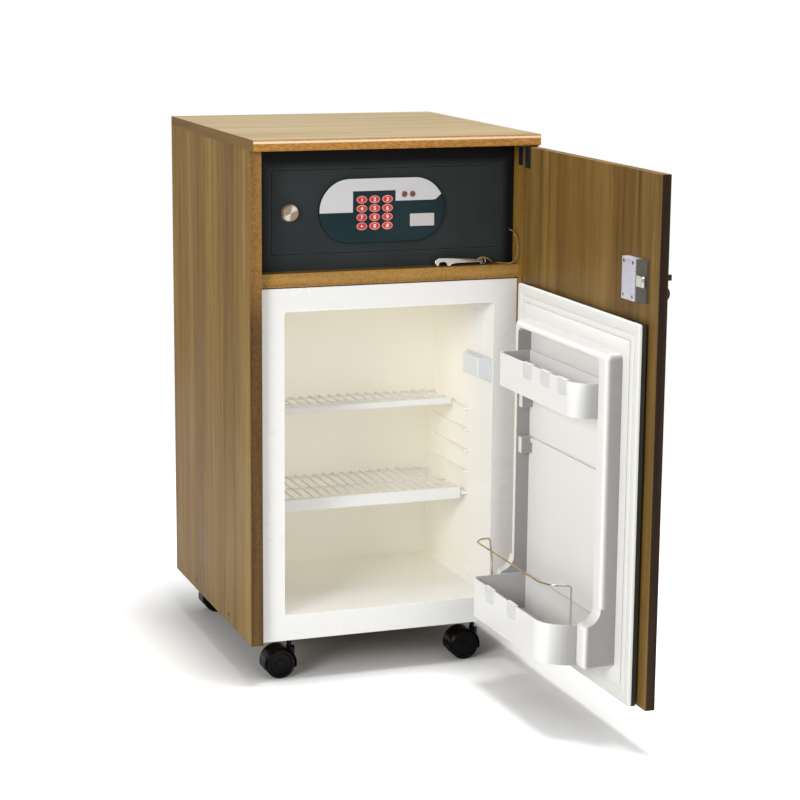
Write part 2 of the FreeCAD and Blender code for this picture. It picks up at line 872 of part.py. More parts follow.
def safe_body():
    side = inner - s.safe_side_play
    high = shelf_high + s.safe_height
    rear = safe_front + s.safe_depth
    wall = s.safe_wall
    box = block("safe_box", (-side, side), (safe_front, rear), (shelf_high, high))
    inside = block(
        "safe_inside", (wall - side, side - wall), (safe_front + s.safe_plate, rear - wall),
        (shelf_high + wall, high - wall))
    gap = s.safe_door_gap
    doorway = block(
        "safe_doorway", (safe_door_left - gap, safe_door_right + gap),
        (safe_front - 1, safe_front + s.safe_plate + 1), (safe_door_low - gap, safe_door_high + gap))
    pins = [
        rod(f"safe_pin_hole_{n}", "z", (safe_hinge_x, safe_hinge_y), span, s.safe_pin_radius + s.running_play)
        for n, span in enumerate((
            (safe_door_low - gap - s.safe_pin_length, safe_door_low),
            (safe_door_high, safe_door_high + gap + s.safe_pin_length)))
    ]
    cord_hole = rod(
        "cord_hole", "y", (cord_exit_x, shelf_high + s.cord_exit_rise),
        (safe_front - 1, safe_front + s.safe_plate + 1), s.cord_radius + s.key_play)
    keep(cut("safe_body", box, inside, doorway, cord_hole, *pins), "safe_body")


def safe_door():
    plate = block(
        "safe_door_plate", (safe_door_left, safe_door_right), (safe_front, safe_front + s.safe_plate),
        (safe_door_low, safe_door_high))
    shaft_hole = rod(
        "knob_hole", "y", (knob_x, fascia_middle), (safe_front - 1, safe_front + s.safe_plate + 1),
        s.knob_shaft_radius + s.running_play)
    reach = s.safe_pin_length - s.key_play
    pins = [
        rod(f"safe_pin_{n}", "z", (safe_hinge_x, safe_hinge_y), span, s.safe_pin_radius)
        for n, span in enumerate((
            (safe_door_low - s.safe_door_gap - reach, safe_door_low + 2),
            (safe_door_high - 2, safe_door_high + s.safe_door_gap + reach)))
    ]
    keep(join("safe_door", cut("safe_door_bored", plate, shaft_hole), *pins), "safe_door")


def bolt_heights():
    return [fascia_middle + s.safe_bolt_distance / 2 * side for side in (-1, 1)]


def safe_door_cover():
    low, high = safe_door_low + s.bolt_case_margin / 2, safe_door_high - s.bolt_case_margin / 2
    left, right = safe_door_left + s.bolt_case_margin, safe_door_right - s.bolt_case_hinge_margin
    rear = safe_front + s.safe_plate
    wall = s.bolt_case_wall
    box = block("bolt_case_box", (left, right), (rear, case_back), (low, high))
    room = block(
        "bolt_case_room", (left + wall, right - wall), (rear - 1, case_back - wall),
        (low + wall, high - wall))
    hole_radius = s.safe_bolt_radius + s.safe_bolt_play
    holes = [
        rod(f"bolt_hole_{n}", "x", (bolt_y, z), (left - 1, left + wall + 1), hole_radius)
        for n, z in enumerate(bolt_heights())
    ]
    keep(cut("safe_door_cover", box, room, *holes), "safe_door_cover")


def safe_bolts():
    left = safe_door_left + s.bolt_case_margin
    tip = left - s.safe_bolt_proud
    bolts = []
    for n, z in enumerate(bolt_heights()):
        bolt = rod(f"safe_bolt_{n}", "x", (bolt_y, z), (tip, tip + s.safe_bolt_length), s.safe_bolt_radius)
        bolts.append(rounded(f"safe_bolt_tip_{n}", bolt, s.safe_bolt_round, flat_at("x", tip)))
    low, high = bolt_heights()
    bar_right = tip + s.safe_bolt_length
    bar = block(
        "bolt_bar", (bar_right - s.bolt_bar_width, bar_right), (bolt_y - 2, bolt_y + 4), (low, high))
    keep(join("safe_bolts", bar, *bolts), "safe_bolts")


def safe_knob():
    height, radius, shaft = s.knob_height, s.knob_radius, s.knob_shaft_radius
    depth = s.safe_plate + s.knob_seat + s.knob_tail
    grip, skirt = s.knob_grip_radius, s.knob_skirt_height
    slope = (radius - grip) / 2
    crown = grip - s.knob_top_radius
    body = turned("safe_knob", [
        (0, -depth), (shaft, -depth), (shaft, 0), (radius, 0), (radius, skirt),
        (radius - slope, skirt + slope), (grip, height - crown), (s.knob_top_radius, height), (0, height)])
    place(body, knob_x, safe_front - s.knob_seat, fascia_middle, Rotation(Vector(1, 0, 0), 90))
    keep(body, "safe_knob")


def key_spots():
    """The twelve keys: name, column and row middle; the rows count from the bottom."""
    names = [
        ["key_left_corner", "key_0", "key_right_corner"], ["key_7", "key_8", "key_9"],
        ["key_4", "key_5", "key_6"], ["key_1", "key_2", "key_3"]]
    lowest = shelf_high + s.keys_rise
    return [
        (name, s.keys_left + s.key_pitch_x * column, lowest + s.key_pitch_z * row)
        for row, line in enumerate(names)
        for column, name in enumerate(line)
    ]


def keypad_fascia():
    half = s.fascia_width / 2
    plate = block(
        "fascia_plate", (s.fascia_shift - half, s.fascia_shift + half), (fascia_front, safe_front),
        (fascia_middle - s.fascia_height / 2, fascia_middle + s.fascia_height / 2))
    plate = rounded("fascia_ends", plate, s.fascia_height / 2 - 0.4, along("y"))
    plate = rounded("fascia_edge", plate, s.fascia_edge_radius, flat_at("y", fascia_front))
    holes = [
        oval(f"{name}_hole", (x, z), s.key_width + s.key_play * 2, s.key_height + s.key_play * 2,
             (fascia_front - 1, safe_front + 1))
        for name, x, z in key_spots()
    ]
    keep(cut("keypad_fascia", plate, *holes), "keypad_fascia")


def keypad_keys():
    top = fascia_front - s.key_proud
    foot = safe_front - s.key_travel - s.key_play
    for name, x, z in key_spots():
        blank = oval(name + "_blank", (x, z), s.key_width, s.key_height, (top, foot))
        keep(rounded(name, blank, s.key_round, flat_at("y", top)), name)


def safe_leds():
    lamps = []
    for n in range(2):
        spot = (s.led_left + s.led_distance * n, safe_door_low + s.led_rise)
        top = fascia_front - s.led_proud
        lamp = rod(f"led_{n}_blank", "y", spot, (top, fascia_front), s.led_radius)
        lamps.append(rounded(f"led_{n}", lamp, s.led_round, flat_at("y", top)))
    keep(group("safe_leds", *lamps), "safe_leds")


def lock_cover():
    low = safe_door_low + s.lock_cover_rise
    top = fascia_front - s.lock_cover_thickness
    cover = block(
        "lock_cover_blank", (s.lock_cover_left, s.lock_cover_left + s.lock_cover_width),
        (top, fascia_front), (low, low + s.lock_cover_height))
    cover = rounded("lock_cover_corners", cover, s.lock_cover_radius, along("y"))
    keep(rounded("lock_cover", cover, s.lock_cover_round, flat_at("y", top)), "lock_cover")


# ---- fridge ----

def drafted(name, grow):
    """The fridge's cavity, narrowing towards its back, larger by grow all round."""
    half = s.opening_width / 2 + grow
    low, high = s.opening_bottom - grow, s.opening_bottom + s.opening_height + grow
    draft = s.cavity_draft
    made = wedge(
        name + "_wedge", (-half, half), (frame_front, frame_front + cavity_depth + grow), (low, high),
        (draft - half, half - draft), (low + draft / 2, high - draft / 2))
    return rounded(name, made, s.liner_radius + grow, along("y"))


def fridge_housing():
    frame_side = inner - s.fridge_side_play
    side = inner - s.housing_play
    frame = block(
        "frame_block", (-frame_side, frame_side), (frame_front, frame_back),
        (s.floor_gap, s.floor_gap + s.frame_height))
    frame = rounded("frame_corners", frame, s.sheet_corner, along("y"))
    rear = housing_back
    housing = block(
        "housing_block", (-side, side), (frame_back - 1, rear), (bottom_high, shelf_low - s.housing_top_gap))
    cavity = drafted("housing_cavity", s.liner_wall)
    front_room = block(
        "frame_room", (-side - 1, side + 1), (frame_back, rear + 1), (s.floor_gap - 1, bottom_high))
    keep(cut("fridge_housing", join("housing_whole", frame, housing), cavity, front_room), "fridge_housing")


def rib_heights():
    return [s.lower_rib_top + s.rib_pitch * n for n in range(int(s.rib_count.value))]


def fridge_liner():
    outer = drafted("liner_outer", s.liner_wall)
    room = drafted("liner_room", as_size(0))
    shell = cut("liner_shell", outer, room)
    half = s.opening_width / 2 + s.liner_wall
    far = frame_front + cavity_depth
    step = block(
        "cold_step", (-half, half), (far - s.cold_step_depth, far + s.liner_wall),
        (s.cold_step_bottom, s.opening_bottom + s.opening_height + s.liner_wall))
    ribs = [
        block(f"rib_{n}_{word}", span, (front + s.rib_front, front + s.rib_front + s.rib_length),
              (top - s.rib_height, top))
        for n, top in enumerate(rib_heights())
        for word, span in (("left", (-half, -s.rib_inner_half)), ("right", (s.rib_inner_half, half)))
    ]
    added = overlap("liner_added", join("liner_extras", step, *ribs), outer)
    keep(join("fridge_liner", shell, added), "fridge_liner")


def wire_shelf(name, start, depth, rib_top, trim_height):
    """A wire shelf that rests on two ribs, with a moulded strip along its front."""
    half = s.shelf_half_width
    bar, wire = s.shelf_bar_radius, s.shelf_wire_radius
    near, far = front + start, front + start + depth
    bar_z = rib_top + bar
    wire_z = bar_z + bar + wire * 0.6
    bars = [
        rod(f"{name}_bar_{n}", "x", (y, bar_z), (-half, half), bar)
        for n, y in enumerate((near + s.trim_depth + bar, (near + far) / 2, far - bar * 2))
    ]
    count = int(half.value * 2 / s.shelf_wire_pitch.value) - 1
    first = -s.shelf_wire_pitch * (count - 1) / 2
    wires = [
        rod(f"{name}_wire_{n}", "y", (first + s.shelf_wire_pitch * n, wire_z), (near + 1, far), wire)
        for n in range(count)
    ]
    trim_half = s.rib_inner_half - s.trim_play
    trim = block(
        name + "_trim", (-trim_half, trim_half), (near, near + s.trim_depth + bar),
        (wire_z + wire + 1 - trim_height, wire_z + wire + 1))
    trim = rounded(name + "_trim_edges", trim, s.trim_radius, along("x", y=near))
    keep(join(name, trim, *bars, *wires), name)


def shelves():
    tops = rib_heights()
    wire_shelf("upper_shelf", s.upper_shelf_front, s.upper_shelf_depth, tops[-1], s.upper_trim_height)
    wire_shelf("lower_shelf", s.lower_shelf_front, s.lower_shelf_depth, tops[0], s.lower_trim_height)


def lamp_box():
    wall = s.opening_width / 2
    near = front + s.lamp_front
    high = s.lamp_bottom + s.lamp_height
    margin, inset = s.lamp_cover_margin, s.lamp_socket_inset
    base = block(
        "lamp_base", (wall - s.lamp_base, wall + s.liner_wall / 2), (near, near + s.lamp_length),
        (s.lamp_bottom, high))
    base = overlap("lamp_base_inside", base, drafted("lamp_room", as_size(0)))
    face = wall - s.lamp_base
    cover_near = near + s.lamp_cover_inset
    cover_far = cover_near + s.lamp_cover_length
    socket = block(
        "lamp_socket", (face - 1, face + 1), (cover_near + inset, cover_far - inset),
        (s.lamp_bottom + margin + inset, high - margin - inset))
    base = cut("lamp_base_fitted", base, socket)
    cover_face = face - s.lamp_cover_depth
    cover = block(
        "lamp_cover_blank", (cover_face, face), (cover_near, cover_far),
        (s.lamp_bottom + margin, high - margin))
    cover = rounded("lamp_cover", cover, s.lamp_cover_round, flat_at("x", cover_face))
    keep(group("lamp_box", base, cover), "lamp_box")


def cooling_unit():
    tube = s.tube_radius
    y = housing_back + tube + s.tube_stand_off
    half = s.absorber_width / 2
    pitch = s.tube_bend * 2
    shift = -s.boiler_width / 2
    points = []
    count = int(s.absorber_runs.value)
    for n in range(count):
        z = s.absorber_bottom + pitch * n
        ends = [(shift - half, y, z), (shift + half, y, z)]
        points += ends if n % 2 == 0 else ends[::-1]
    last = points[-1]
    points.append((last[0], y, s.condenser_rise))
    points.append((shift * 2 - last[0], y, s.condenser_rise))
    bends = [s.tube_bend.value * 0.98] * (len(points) - 2)
    coil = wire_tube("absorber_coil", as_vectors(points), bends, tube.value)
    vessel = rod(
        "vessel", "x", (housing_back + s.vessel_radius + 1, s.vessel_middle),
        (shift - s.vessel_length / 2, shift + s.vessel_length / 2), s.vessel_radius)
    vessel = rounded("vessel_ends", vessel, s.vessel_round, round_edge)
    riser = rod("vessel_riser", "z", (shift, y), (s.vessel_middle, s.absorber_bottom), tube)
    boiler = block(
        "boiler", (s.boiler_shift - s.boiler_width / 2, s.boiler_shift + s.boiler_width / 2),
        (housing_back, housing_back + s.boiler_depth), (s.boiler_bottom, s.boiler_bottom + s.boiler_height))
    boiler = rounded("boiler_edges", boiler, s.boiler_round, along("z"))
    inlet = block(
        "inlet_recess", (s.boiler_shift - s.inlet_width / 2, s.boiler_shift + s.inlet_width / 2),
        (housing_back + s.boiler_depth - s.inlet_recess, housing_back + s.boiler_depth + 1),
        (s.boiler_bottom + s.inlet_rise, s.boiler_bottom + s.inlet_rise + s.inlet_height))
    boiler = cut("boiler_with_inlet", boiler, inlet)
    link_z = s.boiler_bottom + s.boiler_height - s.link_drop
    post_x = shift + half - s.tube_bend
    link = rod("boiler_link", "x", (y, link_z), (post_x, s.boiler_shift), s.pipe_radius)
    feed = rod("vessel_feed", "x", (y, s.vessel_middle), (shift, s.boiler_shift), s.pipe_radius)
    fin_half = s.fin_depth / 2
    fins = [
        block(f"fin_{n}", (x, x + s.fin_thickness), (y - fin_half + s.fin_shift, y + fin_half + s.fin_shift),
              (s.condenser_rise - s.fin_height / 2, s.condenser_rise + s.fin_height / 2))
        for n in range(int(s.fin_count.value))
        for x in [shift - s.fin_pitch * (s.fin_count - 1) / 2 + s.fin_pitch * n]
    ]
    strap = block(
        "condenser_strap", (shift - s.strap_width / 2, shift + s.strap_width / 2), (housing_back, y),
        (s.condenser_rise - s.strap_width / 2, s.condenser_rise + s.strap_width / 2))
    post_z = s.absorber_bottom + pitch * (count - 1)
    low_strap = block(
        "absorber_strap", (shift - s.strap_width / 2, shift + s.strap_width / 2), (housing_back, y),
        (s.absorber_bottom - tube / 2, post_z + tube / 2))
    post = rod("boiler_post", "z", (post_x, y), (post_z, link_z + s.pipe_radius), s.pipe_radius)
    keep(join("cooling_unit", coil, vessel, riser, boiler, link, post, feed, strap, low_strap, *fins),
         "cooling_unit")


# ---- casters ----

def caster_hood(name, x, y):
    """A caster's hood, web, axle boss and stem; the wheels trail towards -X."""
    wheel_x = x - s.caster_trail
    middle = s.wheel_radius
    half = s.web_thickness / 2 + s.wheel_gap + s.wheel_width
    dome = rod(name + "_dome", "y", (wheel_x, middle), (y - half, y + half), s.hood_radius)
    dome = rounded(name + "_dome_round", dome, s.hood_round, round_edge)
    room = [
        rod(f"{name}_room_{n}", "y", (wheel_x, middle), span, s.hood_radius - s.hood_wall)
        for n, span in enumerate((
            (y - half - 1, y - s.web_thickness / 2), (y + s.web_thickness / 2, y + half + 1)))
    ]
    reach = s.hood_radius + 1
    under = block(
        name + "_under", (wheel_x - reach, wheel_x + reach), (y - half - 1, y + half + 1),
        (middle - s.hood_radius - 1, middle - s.hood_opening))
    shell = cut(name + "_shell", dome, under, *room)
    boss = rod(name + "_boss", "z", (x, y), (middle, middle + s.boss_height), s.boss_radius)
    boss = cut(name + "_boss_cut", boss, *[
        rod(f"{name}_boss_room_{n}", "y", (wheel_x, middle), span, s.hood_radius - s.hood_wall)
        for n, span in enumerate((
            (y - half - 1, y - s.web_thickness / 2), (y + s.web_thickness / 2, y + half + 1)))
    ])
    stem_span = (middle + s.boss_height / 2, bottom_low + s.stem_depth)
    stem = rod(name + "_stem", "z", (x, y), stem_span, s.stem_radius)
    collar_top = bottom_low - s.collar_gap
    collar = rod(
        name + "_collar", "z", (x, y), (collar_top - s.collar_height, collar_top), s.boss_radius - 1)
    bore = rod(name + "_bore", "y", (wheel_x, middle), (y - half, y + half), s.axle_radius + s.running_play)
    keep(cut(name, join(name + "_whole", shell, boss, stem, collar), bore), name)


def caster_wheels(name, x, y):
    """Two wheels on one axle."""
    radius, width = s.wheel_radius, s.wheel_width
    inside = s.web_thickness / 2 + s.wheel_gap
    outside = inside + width - s.tyre_round
    axle, soft, dish = s.axle_radius, s.tyre_round, s.hub_dish
    rim, cap = radius - s.tyre_depth, s.hub_cap_radius
    half = [
        (axle, inside), (radius - soft, inside), (radius, inside + soft), (radius, outside - soft),
        (radius - soft, outside), (rim + dish / 2, outside), (rim, outside - dish), (cap + 1, outside - dish),
        (cap, outside - dish / 3), (0, outside - dish / 3)]
    mirrored = [(r, -h) for r, h in reversed(half)]
    body = turned(name, half + mirrored)
    place(body, x - s.caster_trail, y, s.wheel_radius, Rotation(Vector(1, 0, 0), 90))
    keep(body, name)


def casters():
    for spot, x, y in caster_spots():
        caster_hood(f"{spot}_caster_hood", x, y)
        caster_wheels(f"{spot}_caster_wheels", x, y)


# ---- cabinet door ----

def door_panel():
    right, left = door_x(0), door_x(door_width)
    board = block("door_board", (left, right), (door_outer, door_inner), (s.door_bottom, door_top))
    board = rounded("door_board_edges", board, s.door_edge_radius, along("z"))
    seat = s.barrel_radius + s.barrel_play
    tools = []
    for word, low, high in hinge_ends():
        deep_low, deep_high = barrel_span(word, low, high, s.barrel_play)
        tools.append(rod(f"barrel_seat_{word}", "z", (0, 0), (deep_low, deep_high), seat))
        tools.append(block(
            f"web_seat_{word}", (-s.barrel_web / 2 - s.barrel_play, s.barrel_web / 2 + s.barrel_play),
            (0, door_inner + 1), (deep_low, deep_high)))
    tools.append(rod(
        "cylinder_hole", "y", (door_x(s.key_from_edge), s.lock_middle), (door_outer - 1, door_inner + 1),
        s.cylinder_radius + s.barrel_play))
    tools += [screw(f"door_pilot_{n}", "y", at, 1, sizes, s.screw_play)
              for n, (at, sizes) in enumerate(door_screw_list())]
    keep_on_door(cut("door_panel", board, *tools), "door_panel")


def hinge_ends():
    """The two ends of the door that hold a hinge: word and the leaf's low and high edges."""
    return [
        ("upper", door_top - s.leaf_height, door_top),
        ("lower", s.door_bottom, s.door_bottom + s.leaf_height),
    ]


def barrel_span(word, low, high, extra=0):
    """A barrel's ends; extra lengthens the side inside the door, and past its end for a cut."""
    over = 1 if extra else 0
    if word == "upper":
        return high - s.barrel_height - extra, high + over
    return low - over, low + s.barrel_height + extra


def door_hinge_leaves():
    leaves = []
    for word, low, high in hinge_ends():
        span = barrel_span(word, low, high)
        barrel = rod(f"barrel_{word}", "z", (0, 0), span, s.barrel_radius)
        web = block(
            f"barrel_web_{word}", (-s.barrel_web / 2, s.barrel_web / 2), (0, door_inner + 0.5), span)
        leaf = block(
            f"leaf_{word}", (door_x(s.leaf_start + s.leaf_width), door_x(s.leaf_start)),
            (door_inner, door_inner + s.leaf_thickness), (low, high))
        far_edge = along("y", x=door_x(s.leaf_start + s.leaf_width))
        leaf = rounded(f"leaf_{word}_corners", leaf, s.leaf_corner, far_edge)
        whole = join(f"leaf_{word}_whole", barrel, web, leaf)
        bore = rod(
            f"barrel_bore_{word}", "z", (0, 0), (low - 2, high + 2), s.hinge_pin_radius + s.running_play)
        holes = [screw(f"leaf_hole_{word}_{n}", "y", at, 1, sizes, s.screw_play)
                 for n, (at, sizes) in enumerate(leaf_screws(word))]
        leaves.append(cut(f"hinge_leaf_{word}", whole, bore, *holes))
    keep_on_door(group("door_hinge_leaves", *leaves), "door_hinge_leaves")


def small_screw():
    return (s.small_head_radius, s.small_head_height, s.small_shank_radius, s.small_screw_length)


def leaf_screws(word):
    low, high = next(span[1:] for span in hinge_ends() if span[0] == word)
    middle = (low + high) / 2
    face = door_inner + s.leaf_thickness
    x = door_x(s.leaf_screw_from_edge)
    return [((x, face, middle + s.leaf_screw_distance / 2 * side), small_screw()) for side in (-1, 1)]


def lock_screws():
    face = door_inner + s.lock_thickness
    length = s.lock_thickness + s.lock_screw_grip
    sizes = (s.small_head_radius, s.small_head_height, s.small_shank_radius, length)
    first = s.lock_start + s.lock_screw_inset
    return [
        ((door_x(first + s.lock_screw_distance * n), face, s.lock_middle + s.lock_screw_rise * side), sizes)
        for n in range(2)
        for side in (-1, 1)
    ]


def door_screw_list():
    return leaf_screws("upper") + leaf_screws("lower") + lock_screws()


def door_screws():
    screws = [screw(f"door_screw_{n}", "y", at, 1, sizes) for n, (at, sizes) in enumerate(door_screw_list())]
    keep_on_door(group("door_screws", *screws), "door_screws")


def bolt_faces():
    low = door_inner + s.lock_bolt_rise
    return low, low + s.lock_bolt_thickness


def lock_case():
    start, end = door_x(s.lock_start), door_x(s.lock_start + s.lock_width)
    bend = door_x(s.lock_start + s.lock_flat_width)
    body = padded("lock_case_blank", [
        (start, door_inner), (start, door_inner + s.lock_thickness), (bend, door_inner + s.lock_thickness),
        (end, door_inner + s.lock_thin), (end, door_inner)], s.lock_height)
    softened(body, s.lock_edge_radius, along("z", x=start, y=door_inner + s.lock_thickness))
    bind(body, "Placement.Base.z", s.lock_middle - s.lock_height / 2)
    play = s.lock_bolt_play
    near, far = bolt_faces()
    channel = block(
        "bolt_channel", (end - 1, end + s.lock_bolt_length + play), (near - play, far + play),
        (s.lock_middle - s.lock_bolt_height / 2 - play, s.lock_middle + s.lock_bolt_height / 2 + play))
    holes = [screw(f"lock_hole_{n}", "y", at, 1, sizes, s.screw_play)
             for n, (at, sizes) in enumerate(lock_screws())]
    keep_on_door(cut("lock_case", body, channel, *holes), "lock_case")


def lock_bolt():
    end = door_x(s.lock_start + s.lock_width)
    near, far = bolt_faces()
    bolt = block(
        "lock_bolt_blank", (end, end + s.lock_bolt_length), (near, far),
        (s.lock_middle - s.lock_bolt_height / 2, s.lock_middle + s.lock_bolt_height / 2))
    keep_on_door(rounded("lock_bolt", bolt, s.lock_bolt_thickness * 0.45, along("z", x=end)), "lock_bolt")


def lock_cylinder():
    x = door_x(s.key_from_edge)
    sleeve = rod("cylinder_sleeve", "y", (x, s.lock_middle), (door_outer, door_inner), s.cylinder_radius)
    flange = rod(
        "cylinder_flange_ring", "y", (x, s.lock_middle), (door_outer - s.cylinder_flange_height, door_outer),
        s.cylinder_flange)
    bore = rod(
        "keyway", "y", (x, s.lock_middle),
        (door_outer - s.cylinder_flange_height - 1, door_inner - s.shank_seat / 2),
        s.shank_radius + s.running_play)
    keep_on_door(cut("lock_cylinder", join("cylinder_whole", sleeve, flange), bore), "lock_cylinder")


def key():
    x = door_x(s.key_from_edge)
    z = s.lock_middle
    start = door_outer - s.shank_proud
    shank_span = (start - s.neck_thickness, door_inner - s.shank_seat)
    shank = rod("key_shank", "y", (x, z), shank_span, s.shank_radius)
    grip = block(
        "key_grip", (x - s.grip_thickness / 2, x + s.grip_thickness / 2), (start - s.grip_length, start),
        (z - s.grip_width / 2, z + s.grip_width / 2))
    grip = rounded("key_grip_round", grip, s.grip_round, along("y"))
    ring_y = start - s.grip_length / 2
    neck = block(
        "fob_neck", (x - s.neck_thickness / 2, x + s.neck_thickness / 2),
        (ring_y - s.neck_width / 2, ring_y + s.neck_width / 2), (z - s.fob_drop + s.fob_radius / 2, z))
    fob_half = s.fob_thickness / 2
    fob = rod("fob_disc", "x", (ring_y, z - s.fob_drop), (x - fob_half, x + fob_half), s.fob_radius)
    fob = rounded("fob_round", fob, s.fob_round, round_edge)
    keep_on_door(join("key", shank, grip, neck, fob), "key")


# ---- fridge door ----

def ring(name, inset, y):
    """A frame round the fridge door: its outer edge inset by the first, its inner by the second size."""
    outer_inset, inner_inset = inset
    low, high = s.inner_door_bottom, inner_door_top
    outer = block(
        name + "_outer", (inner_x(inner_door_width - outer_inset), inner_x(outer_inset)), y,
        (low + outer_inset, high - outer_inset))
    hole = block(
        name + "_hole", (inner_x(inner_door_width - inner_inset), inner_x(inner_inset)),
        (y[0] - 1, y[1] + 1), (low + inner_inset, high - inner_inset))
    return cut(name + "_ring", rounded(name + "_outer_round", outer, s.sheet_corner, along("y")), hole)


def fridge_door_skin():
    panel = block(
        "skin_panel", (inner_x(inner_door_width), inner_x(0)), (skin_face, skin_face + s.skin_thickness),
        (s.inner_door_bottom, inner_door_top))
    keep_on_door(rounded("fridge_door_skin", panel, s.sheet_corner, along("y")), "fridge_door_skin")


def door_gasket():
    root = skin_face + s.skin_thickness
    lip = ring("gasket_lip", (as_size(0), s.seal_width), (root + s.groove, seal_face))
    foot = ring("gasket_foot", (s.seal_root_inset, s.seal_width), (root, root + s.groove))
    keep_on_door(join("door_gasket", lip, foot), "door_gasket")


def fridge_door_liner():
    root = skin_face + s.skin_thickness
    inset = s.seal_width
    floor = seal_face + s.tray_floor_gap
    plate = block(
        "liner_plate", (inner_x(inner_door_width - inset), inner_x(inset)), (root, seal_face),
        (s.inner_door_bottom + inset, inner_door_top - inset))
    left, right = inner_x(s.dyke_start + dyke_width), inner_x(s.dyke_start)
    dyke_low = s.opening_bottom + s.dyke_gap
    corner = s.dyke_corner
    dyke = block("dyke", (left, right), (root, seal_face + s.dyke_height), (dyke_low, s.dyke_top))
    dyke = rounded("dyke_corners", dyke, corner, along("y"))
    dyke = rounded("dyke_edges", dyke, s.dyke_radius, flat_at("y", seal_face + s.dyke_height))
    sweep = s.cheek_reach - s.dyke_height
    cheek = block("cheek", (left, right), (root, seal_face + s.cheek_reach), (dyke_low, s.cheek_top + sweep))
    hollow = rod("cheek_hollow", "x", (seal_face + s.cheek_reach, s.cheek_top + sweep), (left - 1, right + 1), sweep)
    cheek = cut("cheek_swept", cheek, hollow)
    cheek = rounded("cheek_corners", cheek, corner, along("y", z=dyke_low))
    cheek = rounded("cheek_edges", cheek, s.cheek_radius, flat_at("y", seal_face + s.cheek_reach))
    room = block(
        "tray_room", (inner_x(s.tray_start + tray_width), inner_x(s.tray_start)),
        (floor, seal_face + s.cheek_reach * 2), (s.lower_balcony_bottom, s.cavity_top))
    room = rounded("tray_room_corners", room, s.dyke_radius, along("y", z=s.cavity_top))
    middle = inner_x(s.tray_start + tray_width / 2)
    bead = block(
        "liner_bead", (middle - tray_width / 2, middle + tray_width / 2),
        (floor - 1, floor + s.bead_depth),
        (s.bead_bottom, s.bead_bottom + s.bead_height))
    lugs = [
        block(f"lug_{n}", (inner_x(s.tray_start + s.lug_width), inner_x(s.tray_start - 1)),
              (floor - 1, seal_face + s.dyke_height - s.lug_sink), (z, z + s.lug_height))
        for n, z in enumerate((s.lug_bottom, s.lug_bottom + s.lug_distance))
    ]
    shell = cut("liner_dyke", join("liner_raised", plate, dyke, cheek), room)
    keep_on_door(join("fridge_door_liner", shell, bead, *lugs), "fridge_door_liner")


def balcony(name, bottom, height, reach, radius):
    """A bottle tray across the fridge door, open at the top, with one large rounded corner."""
    near = seal_face + s.tray_floor_gap + s.balcony_play
    far = seal_face + reach
    right = inner_x(s.tray_start + s.balcony_play)
    left = inner_x(s.tray_start + tray_width - s.balcony_play)
    wall = s.tray_wall
    body = padded(name + "_block", [(left, near), (right, near), (right, far), (left, far)], height)
    softened(body, radius, along("z", x=left, y=far))
    softened(body, s.near_corner_radius, along("z", x=right, y=far))
    inside = padded(name + "_room", [
        (left + wall, near + wall), (right - wall, near + wall), (right - wall, far - wall),
        (left + wall, far - wall)], height)
    softened(inside, radius - wall, along("z", x=left + wall, y=far - wall))
    softened(inside, s.near_corner_radius - wall, along("z", x=right - wall, y=far - wall))
    bind(inside, "Placement.Base.z", bottom + wall)
    bind(body, "Placement.Base.z", bottom)
    keep_on_door(cut(name, body, inside), name)


def balconies():
    balcony("upper_balcony", s.upper_balcony_bottom, s.upper_balcony_height, s.upper_balcony_reach,
            s.upper_balcony_radius)
    balcony("lower_balcony", s.lower_balcony_bottom, s.lower_balcony_height, s.lower_balcony_reach,
            s.lower_balcony_radius)


def bottle_clips():
    """Clear clips that hook over the balconies' front walls."""
    places = [
        ("upper", s.upper_clip_first), ("upper", s.upper_clip_second), ("upper", s.upper_clip_third),
        ("lower", s.lower_clip_first), ("lower", s.lower_clip_second)]
    trays = {
        "upper": (s.upper_balcony_bottom + s.upper_balcony_height, seal_face + s.upper_balcony_reach),
        "lower": (s.lower_balcony_bottom + s.lower_balcony_height, seal_face + s.lower_balcony_reach),
    }
    clips = []
    for n, (tray, middle) in enumerate(places):
        rim, face = trays[tray]
        x = inner_x(middle)
        thick = s.clip_thickness
        outer = block(
            f"clip_{n}_blank", (x - s.clip_width / 2, x + s.clip_width / 2),
            (face - s.tray_wall - thick, face + thick), (rim - s.clip_height, rim + thick))
        slot = block(
            f"clip_{n}_slot", (x - s.clip_width / 2 - 1, x + s.clip_width / 2 + 1),
            (face - s.tray_wall, face), (rim - s.clip_height - 1, rim))
        clips.append(cut(f"clip_{n}", outer, slot))
    keep_on_door(group("bottle_clips", *clips), "bottle_clips")


